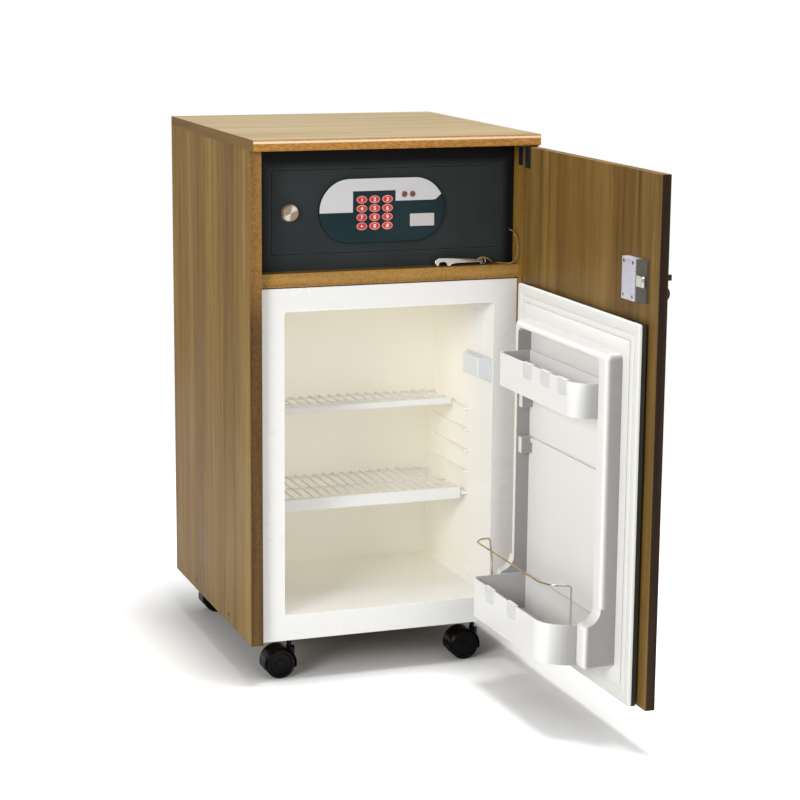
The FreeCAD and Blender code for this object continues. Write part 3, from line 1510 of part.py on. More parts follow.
def wire_guard():
    rim = s.lower_balcony_bottom + s.lower_balcony_height
    bar_z = rim + s.guard_rise
    face = seal_face + s.lower_balcony_reach - s.tray_wall / 2
    right = inner_x(s.tray_start + s.balcony_play) - s.tray_wall / 2
    left = inner_x(s.tray_start + tray_width - s.balcony_play) + s.tray_wall / 2
    leg_y = seal_face + s.cheek_reach + s.guard_leg_gap
    hook_y = seal_face + s.cheek_reach + s.guard_hook_gap
    wide = s.lower_balcony_radius * s.guard_cut
    near = s.guard_near_cut
    leg_bend, wide_bend, near_bend = s.guard_leg_bend, s.guard_wide_bend, s.guard_near_bend
    route = [
        ((left, leg_y, bar_z), leg_bend),
        ((left + s.guard_wide_in, face - s.guard_wide_back, bar_z), wide_bend),
        ((left + wide, face, bar_z), wide_bend), ((right - near, face, bar_z), near_bend),
        ((right, face - near, bar_z), near_bend), ((right, hook_y + leg_bend, bar_z), leg_bend),
        ((right, hook_y, rim + s.guard_hook_rise), s.guard_hook_bend)]
    points = [(left, leg_y, rim)] + [point for point, bend in route] + [(right, hook_y, rim)]
    bends = [bend.value for point, bend in route]
    tube = wire_tube("guard_wire", as_vectors(points), bends, s.guard_radius.value)
    keep_on_door(group("wire_guard", tube), "wire_guard")


def door_fixings():
    """Spacers that hold the fridge door on the cabinet door."""
    inset = s.spacer_inset
    spots = [
        (inner_x(x), z)
        for x in (inset, inner_door_width - inset)
        for z in (s.inner_door_bottom + inset, inner_door_top - inset)
    ]
    spacers = [
        rod(f"spacer_{n}", "y", spot, (door_inner, skin_face), s.spacer_radius)
        for n, spot in enumerate(spots)
    ]
    keep_on_door(group("door_fixings", *spacers), "door_fixings")


# ---- bottle opener ----

def bottle_opener():
    y = front + s.opener_inset
    half = s.opener_lever_width / 2
    head_half = s.opener_head_width / 2
    start = opener_left
    thick = s.opener_lever_thickness
    head = block(
        "opener_head", (start - s.opener_head_lap, start + s.opener_head_length),
        (y - head_half, y + head_half),
        (shelf_high + thick, shelf_high + thick + s.opener_head_thickness))
    head = rounded("opener_head_round", head, s.opener_head_round, along("z"))
    tail = start + s.opener_lever_length + s.opener_tail
    lever = block(
        "opener_lever", (start, tail), (y - half, y + half),
        (shelf_high, shelf_high + thick))
    lever = rounded("opener_lever_round", lever, half - 0.2, along("z"))
    hole = rod(
        "opener_hole", "z", (tail - s.opener_hole_inset, y), (shelf_high - 1, shelf_high + thick + 1),
        s.opener_hole_radius)
    keep(group("bottle_opener", head, cut("opener_lever_bored", lever, hole)), "bottle_opener")


def opener_cord():
    """A thin cord from a hole in the safe's front plate, down the side panel and along the shelf."""
    radius = s.cord_radius.value
    lie = shelf_high + radius + s.cord_lift
    exit_x = cord_exit_x
    exit_z = shelf_high + s.cord_exit_rise
    opener_end = opener_left + s.opener_lever_length + s.opener_tail
    edge_y = front + s.cord_drop_y - s.cord_turn_depth / 2.5
    points = as_vectors([
        (exit_x, safe_front + s.safe_plate, exit_z),
        (exit_x, safe_front - s.cord_drop_y, exit_z + radius),
        (exit_x + s.cord_bulge * 6 / 7, edge_y + radius * 4, exit_z - s.cord_fall * 0.4),
        (exit_x + s.cord_bulge, edge_y - radius, exit_z - s.cord_fall),
        (exit_x + radius, edge_y, lie + s.cord_drape),
        (exit_x - s.cord_turn_side * 0.4, edge_y + radius * 6, lie),
        (exit_x - s.cord_turn_side, front + s.cord_turn_depth, lie),
        (exit_x - s.cord_rest_side, front + s.cord_rest_depth, lie),
        (opener_end + s.cord_end_gap, front + s.opener_inset, lie)])
    runs = [(two - one).Length for one, two in zip(points, points[1:])]
    radii = []
    for n in range(1, len(points) - 1):
        turn = math.pi - (points[n - 1] - points[n]).getAngle(points[n + 1] - points[n])
        radii.append(0.45 * min(runs[n - 1], runs[n]) / math.tan(turn / 2))
    print("opener cord runs", [round(run, 1) for run in runs], "radii", [round(one, 1) for one in radii])
    print("opener cord length", round(bent_wire(points, radii).Length, 1))
    tube = wire_tube("cord_tube", points, radii, radius)
    keep(group("opener_cord", tube), "opener_cord")


# ---- the whole cabinet ----

def build_all():
    top_panel()
    side_panels()
    side_screws()
    bottom_panel()
    safe_shelf()
    back_panel()
    strike_plate()
    hinge_brackets()
    safe_body()
    safe_door()
    safe_door_cover()
    safe_bolts()
    safe_knob()
    keypad_fascia()
    keypad_keys()
    safe_leds()
    lock_cover()
    fridge_housing()
    fridge_liner()
    shelves()
    lamp_box()
    cooling_unit()
    casters()
    door_panel()
    door_hinge_leaves()
    door_screws()
    lock_case()
    lock_bolt()
    lock_cylinder()
    key()
    fridge_door_skin()
    door_gasket()
    fridge_door_liner()
    balconies()
    bottle_clips()
    wire_guard()
    door_fixings()
    bottle_opener()
    opener_cord()


def write_all():
    doc.recompute()
    failed = [one.Name for one in doc.Objects if {"Invalid", "Error"} & set(one.State)]
    failed += [one.Label for one in nodes if one.Shape.isNull() or not one.Shape.isValid()]
    if failed:
        raise RuntimeError("these objects failed: " + ", ".join(failed))
    os.makedirs("parts", exist_ok=True)
    for one in nodes:
        one.Shape.exportStep(f"parts/{one.Label}.step")
        print(f"{one.Label}: {len(one.Shape.Solids)} solids, {one.Shape.Volume:.0f} mm3")
    print(len(nodes), "nodes")


build_all()
write_all()
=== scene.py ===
import json
import math

import bmesh
import bpy
from mathutils import Matrix, Vector


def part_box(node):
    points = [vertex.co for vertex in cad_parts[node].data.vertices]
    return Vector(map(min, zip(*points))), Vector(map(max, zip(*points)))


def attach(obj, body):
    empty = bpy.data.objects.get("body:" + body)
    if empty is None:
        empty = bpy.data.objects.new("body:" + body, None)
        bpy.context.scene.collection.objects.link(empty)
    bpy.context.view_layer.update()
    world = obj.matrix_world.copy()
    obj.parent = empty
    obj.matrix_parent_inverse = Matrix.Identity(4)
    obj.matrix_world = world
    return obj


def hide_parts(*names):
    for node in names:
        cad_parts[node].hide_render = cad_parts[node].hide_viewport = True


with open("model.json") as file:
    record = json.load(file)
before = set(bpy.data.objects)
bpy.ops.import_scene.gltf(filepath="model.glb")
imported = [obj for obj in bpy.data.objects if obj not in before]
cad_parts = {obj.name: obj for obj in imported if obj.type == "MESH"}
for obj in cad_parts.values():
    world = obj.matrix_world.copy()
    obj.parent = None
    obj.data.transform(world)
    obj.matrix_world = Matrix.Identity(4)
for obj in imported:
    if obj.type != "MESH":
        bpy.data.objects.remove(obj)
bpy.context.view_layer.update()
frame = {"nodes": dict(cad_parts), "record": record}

nodes = frame["nodes"]
record = frame["record"]
mm = 0.001

# camera and cord first, then light and floor

viewSetup = {
    "place": (-1.1835, -3.5455, 1.1774),
    "lens": 99.60,
    "yaw": 19.905,        # degrees, turned to the right
    "pitch": 11.521,      # degrees, looking down
    "roll": 0.479,
}


def makeCamera(setup):
    data = bpy.data.cameras.new("productCamera")
    data.lens = setup["lens"]
    data.clip_end = 50
    camera = bpy.data.objects.new("productCamera", data)
    bpy.context.collection.objects.link(camera)
    turn = (
        Matrix.Rotation(-math.radians(setup["yaw"]), 4, "Z")
        @ Matrix.Rotation(math.pi / 2 - math.radians(setup["pitch"]), 4, "X")
        @ Matrix.Rotation(math.radians(setup["roll"]), 4, "Z")
    )
    camera.matrix_world = Matrix.Translation(setup["place"]) @ turn
    bpy.context.scene.camera = camera


cordRoute = [
    (213, -204, 728), (213, -225, 729), (216, -235, 716), (216.5, -240, 698), (214, -239, 684.1),
    (207, -233, 675.1), (198, -220, 675.1), (186, -214, 675.1), (178.9, -223, 675.1),
]
cordSizes = {"diameter": 2, "length": 119.9}


def makeCord():
    # The points carry the cord's radius, which keeps the curve's box as tight as the cord.
    curve = bpy.data.curves.new("openerCord", "CURVE")
    curve.dimensions = "3D"
    curve.bevel_depth = 1
    curve.bevel_resolution = 5
    spline = curve.splines.new("NURBS")
    spline.points.add(len(cordRoute) - 1)
    for point, place in zip(spline.points, cordRoute):
        point.co = (*[one * mm for one in place], 1)
        point.radius = cordSizes["diameter"] / 2 * mm
    spline.order_u = 3
    spline.use_endpoint_u = True
    spline.resolution_u = 12
    cord = bpy.data.objects.new("openerCord", curve)
    bpy.context.collection.objects.link(cord)
    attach(cord, "cabinet")
    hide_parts("opener_cord")
    return cord


makeCamera(viewSetup)
openerCord = makeCord()
print("camera and cord")

lightSetup = {
    "key": {"place": (-3.6, -2.9, 2.0), "size": 1.9, "power": 128},
    "fill": {"place": (0.4, -4.4, 2.0), "size": 2.2, "power": 34},
    "top": {"place": (0.15, -0.25, 3.0), "size": 1.1, "power": 74},
    "aim": (0.05, -0.2, 0.45),
    "world": 0.38,
}


def makeLights(setup):
    for name in ("key", "fill", "top"):
        data = bpy.data.lights.new(name + "Light", "AREA")
        data.shape = "DISK"
        data.size = setup[name]["size"]
        data.energy = setup[name]["power"]
        lamp = bpy.data.objects.new(name + "Light", data)
        bpy.context.collection.objects.link(lamp)
        place = Vector(setup[name]["place"])
        turn = (Vector(setup["aim"]) - place).to_track_quat("-Z", "Y")
        lamp.matrix_world = Matrix.Translation(place) @ turn.to_matrix().to_4x4()
    world = bpy.data.worlds.new("studioWorld")
    bpy.context.scene.world = world
    world.use_nodes = True
    tree = world.node_tree
    back = tree.nodes["Background"]
    back.inputs["Color"].default_value = (1, 1, 1, 1)
    rays = tree.nodes.new("ShaderNodeLightPath")
    seen = tree.nodes.new("ShaderNodeMath")
    seen.operation = "MAXIMUM"
    tree.links.new(rays.outputs["Is Camera Ray"], seen.inputs[0])
    tree.links.new(rays.outputs["Is Transmission Ray"], seen.inputs[1])
    strength = tree.nodes.new("ShaderNodeMapRange")
    strength.inputs["To Min"].default_value = setup["world"]
    strength.inputs["To Max"].default_value = 1
    tree.links.new(seen.outputs[0], strength.inputs["Value"])
    tree.links.new(strength.outputs["Result"], back.inputs["Strength"])


class Graph:
    # A material's node tree: calls add nodes, and sockets given as inputs are linked.
    def __init__(self, name):
        self.material = bpy.data.materials.new(name)
        self.material.use_nodes = True
        self.tree = self.material.node_tree
        self.shader = self.tree.nodes["Principled BSDF"]
        self.coords = self.tree.nodes.new("ShaderNodeTexCoord")

    def put(self, node, socket, value):
        target = node.inputs[socket]
        if isinstance(value, bpy.types.NodeSocket):
            self.tree.links.new(value, target)
        elif isinstance(value, (tuple, list)) and target.type == "RGBA" and len(value) == 3:
            target.default_value = (*value, 1)
        else:
            target.default_value = value

    def add(self, kind, settings=None, **inputs):
        node = self.tree.nodes.new("ShaderNode" + kind)
        for key, value in (settings or {}).items():
            setattr(node, key, value)
        for key, value in inputs.items():
            numbered = key[0] == "i" and key[1:].isdigit()
            self.put(node, int(key[1:]) if numbered else key.replace("_", " "), value)
        return node

    def set(self, **inputs):
        for key, value in inputs.items():
            self.put(self.shader, key.replace("_", " "), value)

    def stretched(self, scale):
        node = self.add("Mapping", Vector=self.coords.outputs["Object"])
        node.inputs["Scale"].default_value = scale
        return node.outputs["Vector"]

    def noise(self, vector, scale, detail, rough=0.55, distort=0):
        shape = {"Scale": scale, "Detail": detail, "Roughness": rough, "Distortion": distort}
        return self.add("TexNoise", Vector=vector, **shape).outputs["Fac"]

    def cloud(self, scale, detail):
        return self.noise(self.coords.outputs["Object"], scale, detail)

    def math(self, operation, one, two=0.5):
        return self.add("Math", {"operation": operation}, i0=one, i1=two).outputs[0]

    def mapped(self, value, low, high, toLow=0.0, toHigh=1.0):
        span = {"From_Min": low, "From_Max": high, "To_Min": toLow, "To_Max": toHigh}
        return self.add("MapRange", Value=value, **span).outputs["Result"]

    def uneven(self, value, low, high):
        # A value between low and high that follows a noise.
        return self.mapped(value, 0.3, 0.7, low, high)

    def mix(self, amount, one, two, blend="MIX"):
        node = self.add("Mix", {"data_type": "RGBA", "blend_type": blend})
        self.put(node, 0, amount)
        self.put(node, 6, (*one, 1) if isinstance(one, tuple) else one)
        self.put(node, 7, (*two, 1) if isinstance(two, tuple) else two)
        return node.outputs[2]

    def ramp(self, value, stops):
        node = self.add("ValToRGB", Fac=value)
        ends = node.color_ramp.elements
        while len(ends) < len(stops):
            ends.new(0.5)
        for end, (at, colour) in zip(ends, stops):
            end.position = at
            end.color = (*colour, 1)
        return node.outputs["Color"]

    def bump(self, height, strength, distance):
        node = self.add("Bump", Height=height, Strength=strength, Distance=distance)
        self.put(self.shader, "Normal", node.outputs["Normal"])

    def axis(self, letter, source="Object"):
        node = self.add("SeparateXYZ", Vector=self.coords.outputs[source])
        return node.outputs[letter.upper()]

    def edges(self, radius):
        # 1 along rounded or sharp edges, 0 on the flats.
        rounded = self.add("Bevel", {"samples": 4}, Radius=radius).outputs["Normal"]
        flat = self.add("NewGeometry").outputs["Normal"]
        alike = self.add("VectorMath", {"operation": "DOT_PRODUCT"}, i0=rounded, i1=flat)
        return self.mapped(alike.outputs["Value"], 0.995, 0.9)


# The second row sets the painted contact shadow that ambient occlusion draws on the floor.
floorSetup = {
    "reach": 9, "near": 0.95, "far": 1.7, "seen": 1.25, "bounced": 0.75,
    "contactShadow": 0.17, "samples": 12, "shut": 0.30, "open": 0.95, "dark": 0.50,
}


def floorPaint(setup):
    # Near the object the floor takes its shadow, deepened by a painted contact shadow from ambient
    # occlusion; further out it fades into the white surroundings.
    g = Graph("studioFloor")
    g.tree.nodes.remove(g.shader)
    camera = g.add("LightPath").outputs["Is Camera Ray"]
    tone = g.mix(camera, (setup["bounced"],) * 3, (setup["seen"],) * 3)
    # Painted shadow: ambient occlusion darkens the floor's colour under and beside the cabinet.
    contactShadow = g.add("AmbientOcclusion", {"samples": setup["samples"]}, Distance=setup["contactShadow"])
    depth = g.mapped(contactShadow.outputs["AO"], setup["shut"], setup["open"], setup["dark"])
    shaded = g.add("VectorMath", {"operation": "SCALE"}, i0=tone, Scale=depth)
    diffuse = g.add("BsdfDiffuse", Color=shaded.outputs[0])
    flat = g.add("VectorMath", {"operation": "LENGTH"}, i0=g.coords.outputs["Object"])
    away = g.add("MapRange", {"interpolation_type": "SMOOTHSTEP"}, Value=flat.outputs["Value"],
                 From_Min=setup["near"], From_Max=setup["far"])
    seenAway = g.math("MULTIPLY", away.outputs["Result"], camera)
    white = g.add("Emission")
    blend = g.add("MixShader", i0=seenAway, i1=diffuse.outputs[0], i2=white.outputs[0])
    g.put(g.tree.nodes["Material Output"], "Surface", blend.outputs[0])
    return g.material


def makeFloor(setup):
    mesh = bpy.data.meshes.new("studioFloor")
    reach = setup["reach"]
    corners = [(-reach, -reach, 0), (reach, -reach, 0), (reach, reach, 0), (-reach, reach, 0)]
    mesh.from_pydata(corners, [], [(0, 1, 2, 3)])
    floor = bpy.data.objects.new("studioFloor", mesh)
    bpy.context.collection.objects.link(floor)
    mesh.materials.append(floorPaint(setup))


bpy.context.scene.view_settings.view_transform = "Standard"
makeLights(lightSetup)
makeFloor(floorSetup)
print("light and floor")

# materials


veneerGrain = {
    "long": 0.35, "across": 9.0, "bandScale": 1.3, "streakScale": 6.5, "hueScale": 1.6, "hueWider": 0.35,
    "fineScale": 3.2, "fineCloser": 9, "hueShare": 0.4, "poreShare": 0.35, "wornShare": 0.3,
    "stops": (0.36, 0.45, 0.54, 0.64), "rough": (0.36, 0.48), "specular": 0.2, "relief": 0.15,
}


def veneer(name, tones, along, special):
    # Sliced wood: broad bands, growth streaks and fine pores, all drawn out along the grain.
    # special(g, colour, streaks) repaints some faces, such as edge bands.
    g = Graph(name)
    grain = veneerGrain
    scale = tuple(grain["long"] if letter == along else grain["across"] for letter in "xyz")
    base = g.stretched(scale)
    bands = g.noise(base, grain["bandScale"], 2, 0.5, 0.25)
    streaks = g.noise(base, grain["streakScale"], 5, 0.6, 0.15)
    closer = g.stretched(tuple(one * grain["fineCloser"] for one in scale))
    fine = g.noise(closer, grain["fineScale"], 3, 0.6)
    figure = g.math("ADD", g.math("MULTIPLY", bands, 0.5), g.math("MULTIPLY", streaks, 0.5))
    steps = [tones[one] for one in ("dark", "mid", "light", "pale")]
    colour = g.ramp(figure, list(zip(grain["stops"], steps)))
    wider = g.stretched(tuple(one * grain["hueWider"] for one in scale))
    hue = g.noise(wider, grain["hueScale"], 2)
    colour = g.mix(g.mapped(hue, 0.45, 0.62, 0, grain["hueShare"]), colour, tones["warm"])
    pores = g.mapped(fine, 0.52, 0.72)
    colour = g.mix(g.math("MULTIPLY", pores, grain["poreShare"]), colour, tones["pore"])
    colour = special(g, colour, streaks)
    colour = g.mix(g.math("MULTIPLY", g.edges(0.0010), grain["wornShare"]), colour, tones["pale"])
    g.set(Base_Color=colour)
    g.set(Roughness=g.uneven(g.cloud(6, 3), *grain["rough"]))
    g.shader.inputs["Specular IOR Level"].default_value = grain["specular"]
    relief = g.math("ADD", g.math("MULTIPLY", fine, 0.6), g.math("MULTIPLY", streaks, 0.4))
    g.bump(relief, grain["relief"], 0.0004)
    return g.material


def frontBand(tone, pore, shadeBelow=None):
    # Edge banding on the front faces; under the shelf the band keeps only a given share of its tone, as
    # painted shade.
    def paint(g, colour, streaks):
        mask = g.mapped(g.math("ABSOLUTE", g.axis("y", "Normal")), 0.7, 0.9)
        flecks = g.noise(g.stretched((60, 60, 60)), 5, 4, 0.7)
        mottle = g.math("ADD", g.math("MULTIPLY", streaks, 0.5), g.math("MULTIPLY", flecks, 0.5))
        edge = g.mix(g.mapped(mottle, 0.38, 0.58), pore, tone)
        if shadeBelow:
            # Painted shade: the front edges are darker below the shelf.
            shadeUnderShelf = g.mapped(g.axis("z"), 0.665, 0.60)
            shadedEdge = g.mix(1.0, edge, (shadeBelow, shadeBelow * 1.04, shadeBelow * 1.15), "MULTIPLY")
            edge = g.mix(shadeUnderShelf, edge, shadedEdge)
        return g.mix(mask, colour, edge)
    return paint


# The cream line along the top's front edge is a painted highlight.
topSetup = {
    "upper": ((0.265, 0.195, 0.102), (0.375, 0.29, 0.165)),
    "ends": ((0.150, 0.080, 0.016), (0.225, 0.130, 0.027)),
    "band": ((0.30, 0.130, 0.024), (0.50, 0.240, 0.054)),
    "highlightCream": (0.80, 0.66, 0.46), "red": (0.26, 0.10, 0.03),
    "highlightLow": (0.8818, 0.8828), "highlightHigh": (0.8858, 0.8852), "redFrom": (0.8862, 0.8870),
    "front": (-0.2655, -0.2665),
}


def topFaces(g, colour, streaks):
    # A light upper face, a cream painted highlight along its front edge, a brown band below it, and brown
    # ends.
    setup = topSetup
    up = g.mapped(g.axis("z", "Normal"), 0.5, 0.95)
    fine = g.noise(g.stretched((0.35, 9, 9)), 7, 5, 0.6)
    face = g.mix(g.mapped(fine, 0.35, 0.65), *setup["upper"])
    colour = g.mix(up, colour, face)
    height = g.axis("z")
    flecks = g.noise(g.stretched((25, 60, 60)), 5, 4, 0.7)
    front = g.mix(g.mapped(flecks, 0.38, 0.62), *setup["band"])
    # Painted highlight: a cream line on the rounded front edge.
    line = g.math("MULTIPLY", g.mapped(height, *setup["highlightLow"]), g.mapped(height, *setup["highlightHigh"]))
    front = g.mix(line, front, setup["highlightCream"])
    front = g.mix(g.mapped(height, *setup["redFrom"]), front, setup["red"])
    ahead = g.mapped(g.axis("y"), *setup["front"])
    side = g.mapped(g.math("ABSOLUTE", g.axis("x", "Normal")), 0.9, 0.7)
    ends = g.noise(g.stretched((9, 0.6, 30)), 5, 3, 0.6)
    colour = g.mix(side, g.mix(g.mapped(ends, 0.3, 0.7), *setup["ends"]), colour)
    return g.mix(g.math("MULTIPLY", ahead, side), colour, front)


def doorEdge(g, colour, streaks):
    # The door's free edge is darker than its faces.
    side = g.mapped(g.math("MULTIPLY", g.axis("y", "Normal"), -1), 0.7, 0.9)
    edge = g.mix(g.mapped(streaks, 0.35, 0.65), (0.016, 0.007, 0.0025), (0.044, 0.019, 0.006))
    return g.mix(side, colour, edge)


def coated(name, colour, rough=0.45, grain=900, depth=0.12, worn=None, shine=0.5):
    # Powder coat, lacquer or moulded plastic with a fine texture and slightly worn edges.
    g = Graph(name)
    cloud = g.cloud(9, 4)
    darker = tuple(c * 0.86 for c in colour)
    lighter = tuple(min(1, c * 1.06 + 0.004) for c in colour)
    tone = g.ramp(cloud, [(0.35, darker), (0.5, colour), (0.68, lighter)])
    if worn:
        tone = g.mix(g.math("MULTIPLY", g.edges(0.0008), 0.5), tone, worn)
    g.set(Base_Color=tone)
    g.shader.inputs["Specular IOR Level"].default_value = shine
    g.set(Roughness=g.uneven(cloud, rough - 0.05, rough + 0.07))
    g.bump(g.cloud(grain, 2), depth, 0.0003)
    return g.material


def whitePlastic(name, colour, rough=0.3, warm=None, ends=None, lit=None):
    # Smooth white moulding; warm paints a warm light and a glow into it by depth into the fridge,
    # ends paints shade on its end faces and upward faces, and lit makes the part of it that stands off the
    # wall glow.
    g = Graph(name)
    grain = g.cloud(700, 2)
    darker = tuple(c * 0.985 for c in colour)
    lighter = tuple(min(1, c * 1.01) for c in colour)
    tone = g.mix(g.mapped(grain, 0.3, 0.7), darker, lighter)
    if ends:
        # Painted shade: upward faces are darkened, and faces turned to the front take the darker ends tone.
        upward = g.mapped(g.axis("z", "Normal"), 0.3, 0.9)
        tone = g.mix(upward, tone, tuple(c * 0.66 for c in colour))
        forward = g.mapped(g.math("MULTIPLY", g.axis("y", "Normal"), -1), 0.55, 0.95)
        tone = g.mix(forward, tone, ends)
    if warm:
        # Painted light: a warm tint and a glow that grow towards the back and the top stand in for the
        # lamp's light inside the fridge.
        depth = g.mapped(g.axis("y"), warm["near"], warm["far"])
        tone = g.mix(g.math("MULTIPLY", depth, warm["amount"]), tone, warm["colour"])
        height = g.mapped(g.axis("z"), warm["low"], warm["high"], warm["lowShare"], 1)
        g.set(Emission_Strength=g.math("MULTIPLY", g.math("MULTIPLY", depth, height), warm["glow"]))
        g.shader.inputs["Emission Color"].default_value = (*warm["glowColour"], 1)
    if lit:
        g.set(Emission_Strength=g.math("MULTIPLY", g.mapped(g.axis("x"), *lit["cover"]), lit["glow"]))
        g.shader.inputs["Emission Color"].default_value = (*lit["glowColour"], 1)
    rubbed = tuple(min(1, c * 1.1) for c in colour)
    tone = g.mix(g.math("MULTIPLY", g.edges(0.0008), 0.25), tone, rubbed)
    g.set(Base_Color=tone)
    g.set(Roughness=g.mapped(g.cloud(5, 3), 0, 1, rough - 0.04, rough + 0.04))
    g.bump(g.cloud(260, 2), 0.03, 0.0002)
    return g.material


def metal(name, colour, rough=0.2, dark=None):
    g = Graph(name)
    lines = g.noise(g.stretched((60, 60, 60)), 6, 3)
    darker = dark or tuple(c * 0.8 for c in colour)
    g.set(Base_Color=g.ramp(lines, [(0.3, darker), (0.62, colour)]))
    g.shader.inputs["Metallic"].default_value = 1
    g.set(Roughness=g.uneven(lines, max(0.03, rough - 0.08), rough + 0.1))
    g.bump(lines, 0.08, 0.0002)
    return g.material


def clearPlastic(name, tint, through, rough, rim):
    g = Graph(name)
    cloud = g.cloud(14, 3)
    tone = g.ramp(cloud, [(0.3, tuple(c * 0.93 for c in tint)), (0.7, tint)])
    # Painted highlight: the edges are tinted near-white.
    g.set(Base_Color=g.mix(g.edges(0.001), tone, rim))
    g.set(Roughness=g.uneven(cloud, rough, rough + 0.08))
    g.shader.inputs["Transmission Weight"].default_value = through
    g.shader.inputs["IOR"].default_value = 1.45
    return g.material


def cordFabric():
    g = Graph("cordFabric")
    twist = g.cloud(420, 2)
    g.set(Base_Color=g.ramp(twist, [(0.35, (0.10, 0.055, 0.02)), (0.6, (0.36, 0.23, 0.09))]))
    g.set(Roughness=g.uneven(twist, 0.5, 0.7))
    g.bump(twist, 0.4, 0.0003)
    return g.material


walnut = {
    "dark": (0.140, 0.073, 0.013), "mid": (0.195, 0.107, 0.020), "light": (0.250, 0.147, 0.028),
    "pale": (0.310, 0.195, 0.042), "warm": (0.215, 0.098, 0.018), "pore": (0.085, 0.040, 0.008),
}
doorWalnut = {
    "dark": (0.075, 0.040, 0.010), "mid": (0.135, 0.076, 0.018), "light": (0.195, 0.115, 0.028),
    "pale": (0.250, 0.155, 0.042), "warm": (0.160, 0.082, 0.018), "pore": (0.050, 0.026, 0.008),
}
# The side panels' front edges carry painted shade below the shelf.
sideBand = frontBand(tone=(0.30, 0.155, 0.038), pore=(0.14, 0.066, 0.017), shadeBelow=0.46)
shelfBand = frontBand(tone=(0.42, 0.235, 0.060), pore=(0.20, 0.100, 0.024))
# The liner's painted warm light and glow, by depth into the fridge and by height.
paintedWarmLight = {
    "near": -0.20, "far": 0.03, "amount": 0.55, "colour": (0.90, 0.85, 0.70),
    "low": 0.10, "high": 0.60, "lowShare": 0.35, "glow": 0.15, "glowColour": (1.0, 0.92, 0.70),
}
lampGlow = {"cover": (0.1748, 0.1744), "glow": 0.04, "glowColour": (0.93, 0.97, 1.0)}
# black is the painted shadow on the collar and the painted dark reflection at the safe's sides.
paintSetup = {
    "tones": ((0.020, 0.025, 0.0255), (0.027, 0.033, 0.0335)), "worn": (0.10, 0.11, 0.11),
    "black": (0.0035, 0.0035, 0.004), "collar": (0.836, 0.848), "corner": (0.196, 0.210), "shine": 0.14,
}


def safePaint(setup):
    # Charcoal powder coat; the collar above the safe's door is painted near-black as shadow under the top's
    # overhang, and its sides are painted near-black as dark reflections.
    g = Graph("charcoalPowder")
    cloud = g.cloud(9, 4)
    tone = g.mix(g.mapped(cloud, 0.35, 0.68), *setup["tones"])
    tone = g.mix(g.math("MULTIPLY", g.edges(0.0008), 0.6), tone, setup["worn"])
    collar = g.mapped(g.axis("z"), *setup["collar"])
    corner = g.mapped(g.math("ABSOLUTE", g.axis("x")), *setup["corner"])
    # Painted shadow on the collar and painted dark reflections at the sides.
    tone = g.mix(g.math("MAXIMUM", collar, corner), tone, setup["black"])
    g.set(Base_Color=tone)
    g.set(Roughness=g.uneven(cloud, 0.42, 0.52))
    g.shader.inputs["Specular IOR Level"].default_value = setup["shine"]
    g.bump(g.cloud(1500, 2), 0.25, 0.0003)
    return g.material


def brushedDisc():
    # Turned face of the knob: fine rings, and brighter wedges where the rings catch the light.
    low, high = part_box("safe_knob")
    middle = (low + high) / 2
    g = Graph("brushedKnob")
    centred = g.add("Mapping", Vector=g.coords.outputs["Object"])
    centred.inputs["Location"].default_value = (-middle.x, 0, -middle.z)
    parts = g.add("SeparateXYZ", Vector=centred.outputs["Vector"])
    x, z = parts.outputs["X"], parts.outputs["Z"]
    away = g.math("SQRT", g.math("ADD", g.math("POWER", x, 2), g.math("POWER", z, 2)))
    turn = g.math("SUBTRACT", g.math("ARCTAN2", z, x), math.radians(52))
    wedge = g.mapped(g.math("COSINE", g.math("MULTIPLY", turn, 2)), 0.25, 0.95)
    rings = g.add("TexNoise", {"noise_dimensions": "1D"}, W=away, Scale=2600, Detail=2).outputs["Fac"]
    tone = g.mix(wedge, (0.40, 0.29, 0.19), (0.93, 0.90, 0.84))
    tone = g.mix(g.math("MULTIPLY", rings, 0.35), tone, (0.34, 0.26, 0.19))
    g.set(Base_Color=tone)
    g.shader.inputs["Metallic"].default_value = 0.55
    g.set(Roughness=g.uneven(rings, 0.22, 0.36))
    g.bump(rings, 0.1, 0.0001)
    return g.material


def wireGold():
    # Chromed wire that mirrors the warm interior, cooler on its free-side leg.
    g = Graph("guardWire")
    lines = g.noise(g.stretched((10, 10, 10)), 6, 3)
    tone = g.ramp(lines, [(0.3, (0.34, 0.23, 0.11)), (0.62, (0.66, 0.50, 0.30))])
    freeSide = g.mapped(g.axis("y"), -0.600, -0.612)
    g.set(Base_Color=g.mix(freeSide, tone, (0.36, 0.34, 0.31)))
    g.shader.inputs["Metallic"].default_value = 1
    g.set(Roughness=g.uneven(lines, 0.1, 0.22))
    return g.material


def coolingPaint():
    # Black tubes and fins; the boiler's case is galvanised.
    g = Graph("coolingUnit")
    spangle = g.add("TexVoronoi", {"feature": "F1"}, Vector=g.coords.outputs["Object"], Scale=110)
    zinc = g.mix(g.mapped(spangle.outputs["Color"], 0.2, 0.8), (0.42, 0.43, 0.44), (0.60, 0.61, 0.62))
    cloud = g.cloud(30, 3)
    black = g.ramp(cloud, [(0.3, (0.012, 0.012, 0.012)), (0.7, (0.03, 0.03, 0.031))])
    case = g.mapped(g.axis("x"), 0.133, 0.1335)
    g.set(Base_Color=g.mix(case, black, zinc))
    g.set(Metallic=g.math("MULTIPLY", case, 0.8))
    g.set(Roughness=g.uneven(cloud, 0.38, 0.5))
    g.bump(cloud, 0.1, 0.0003)
    return g.material


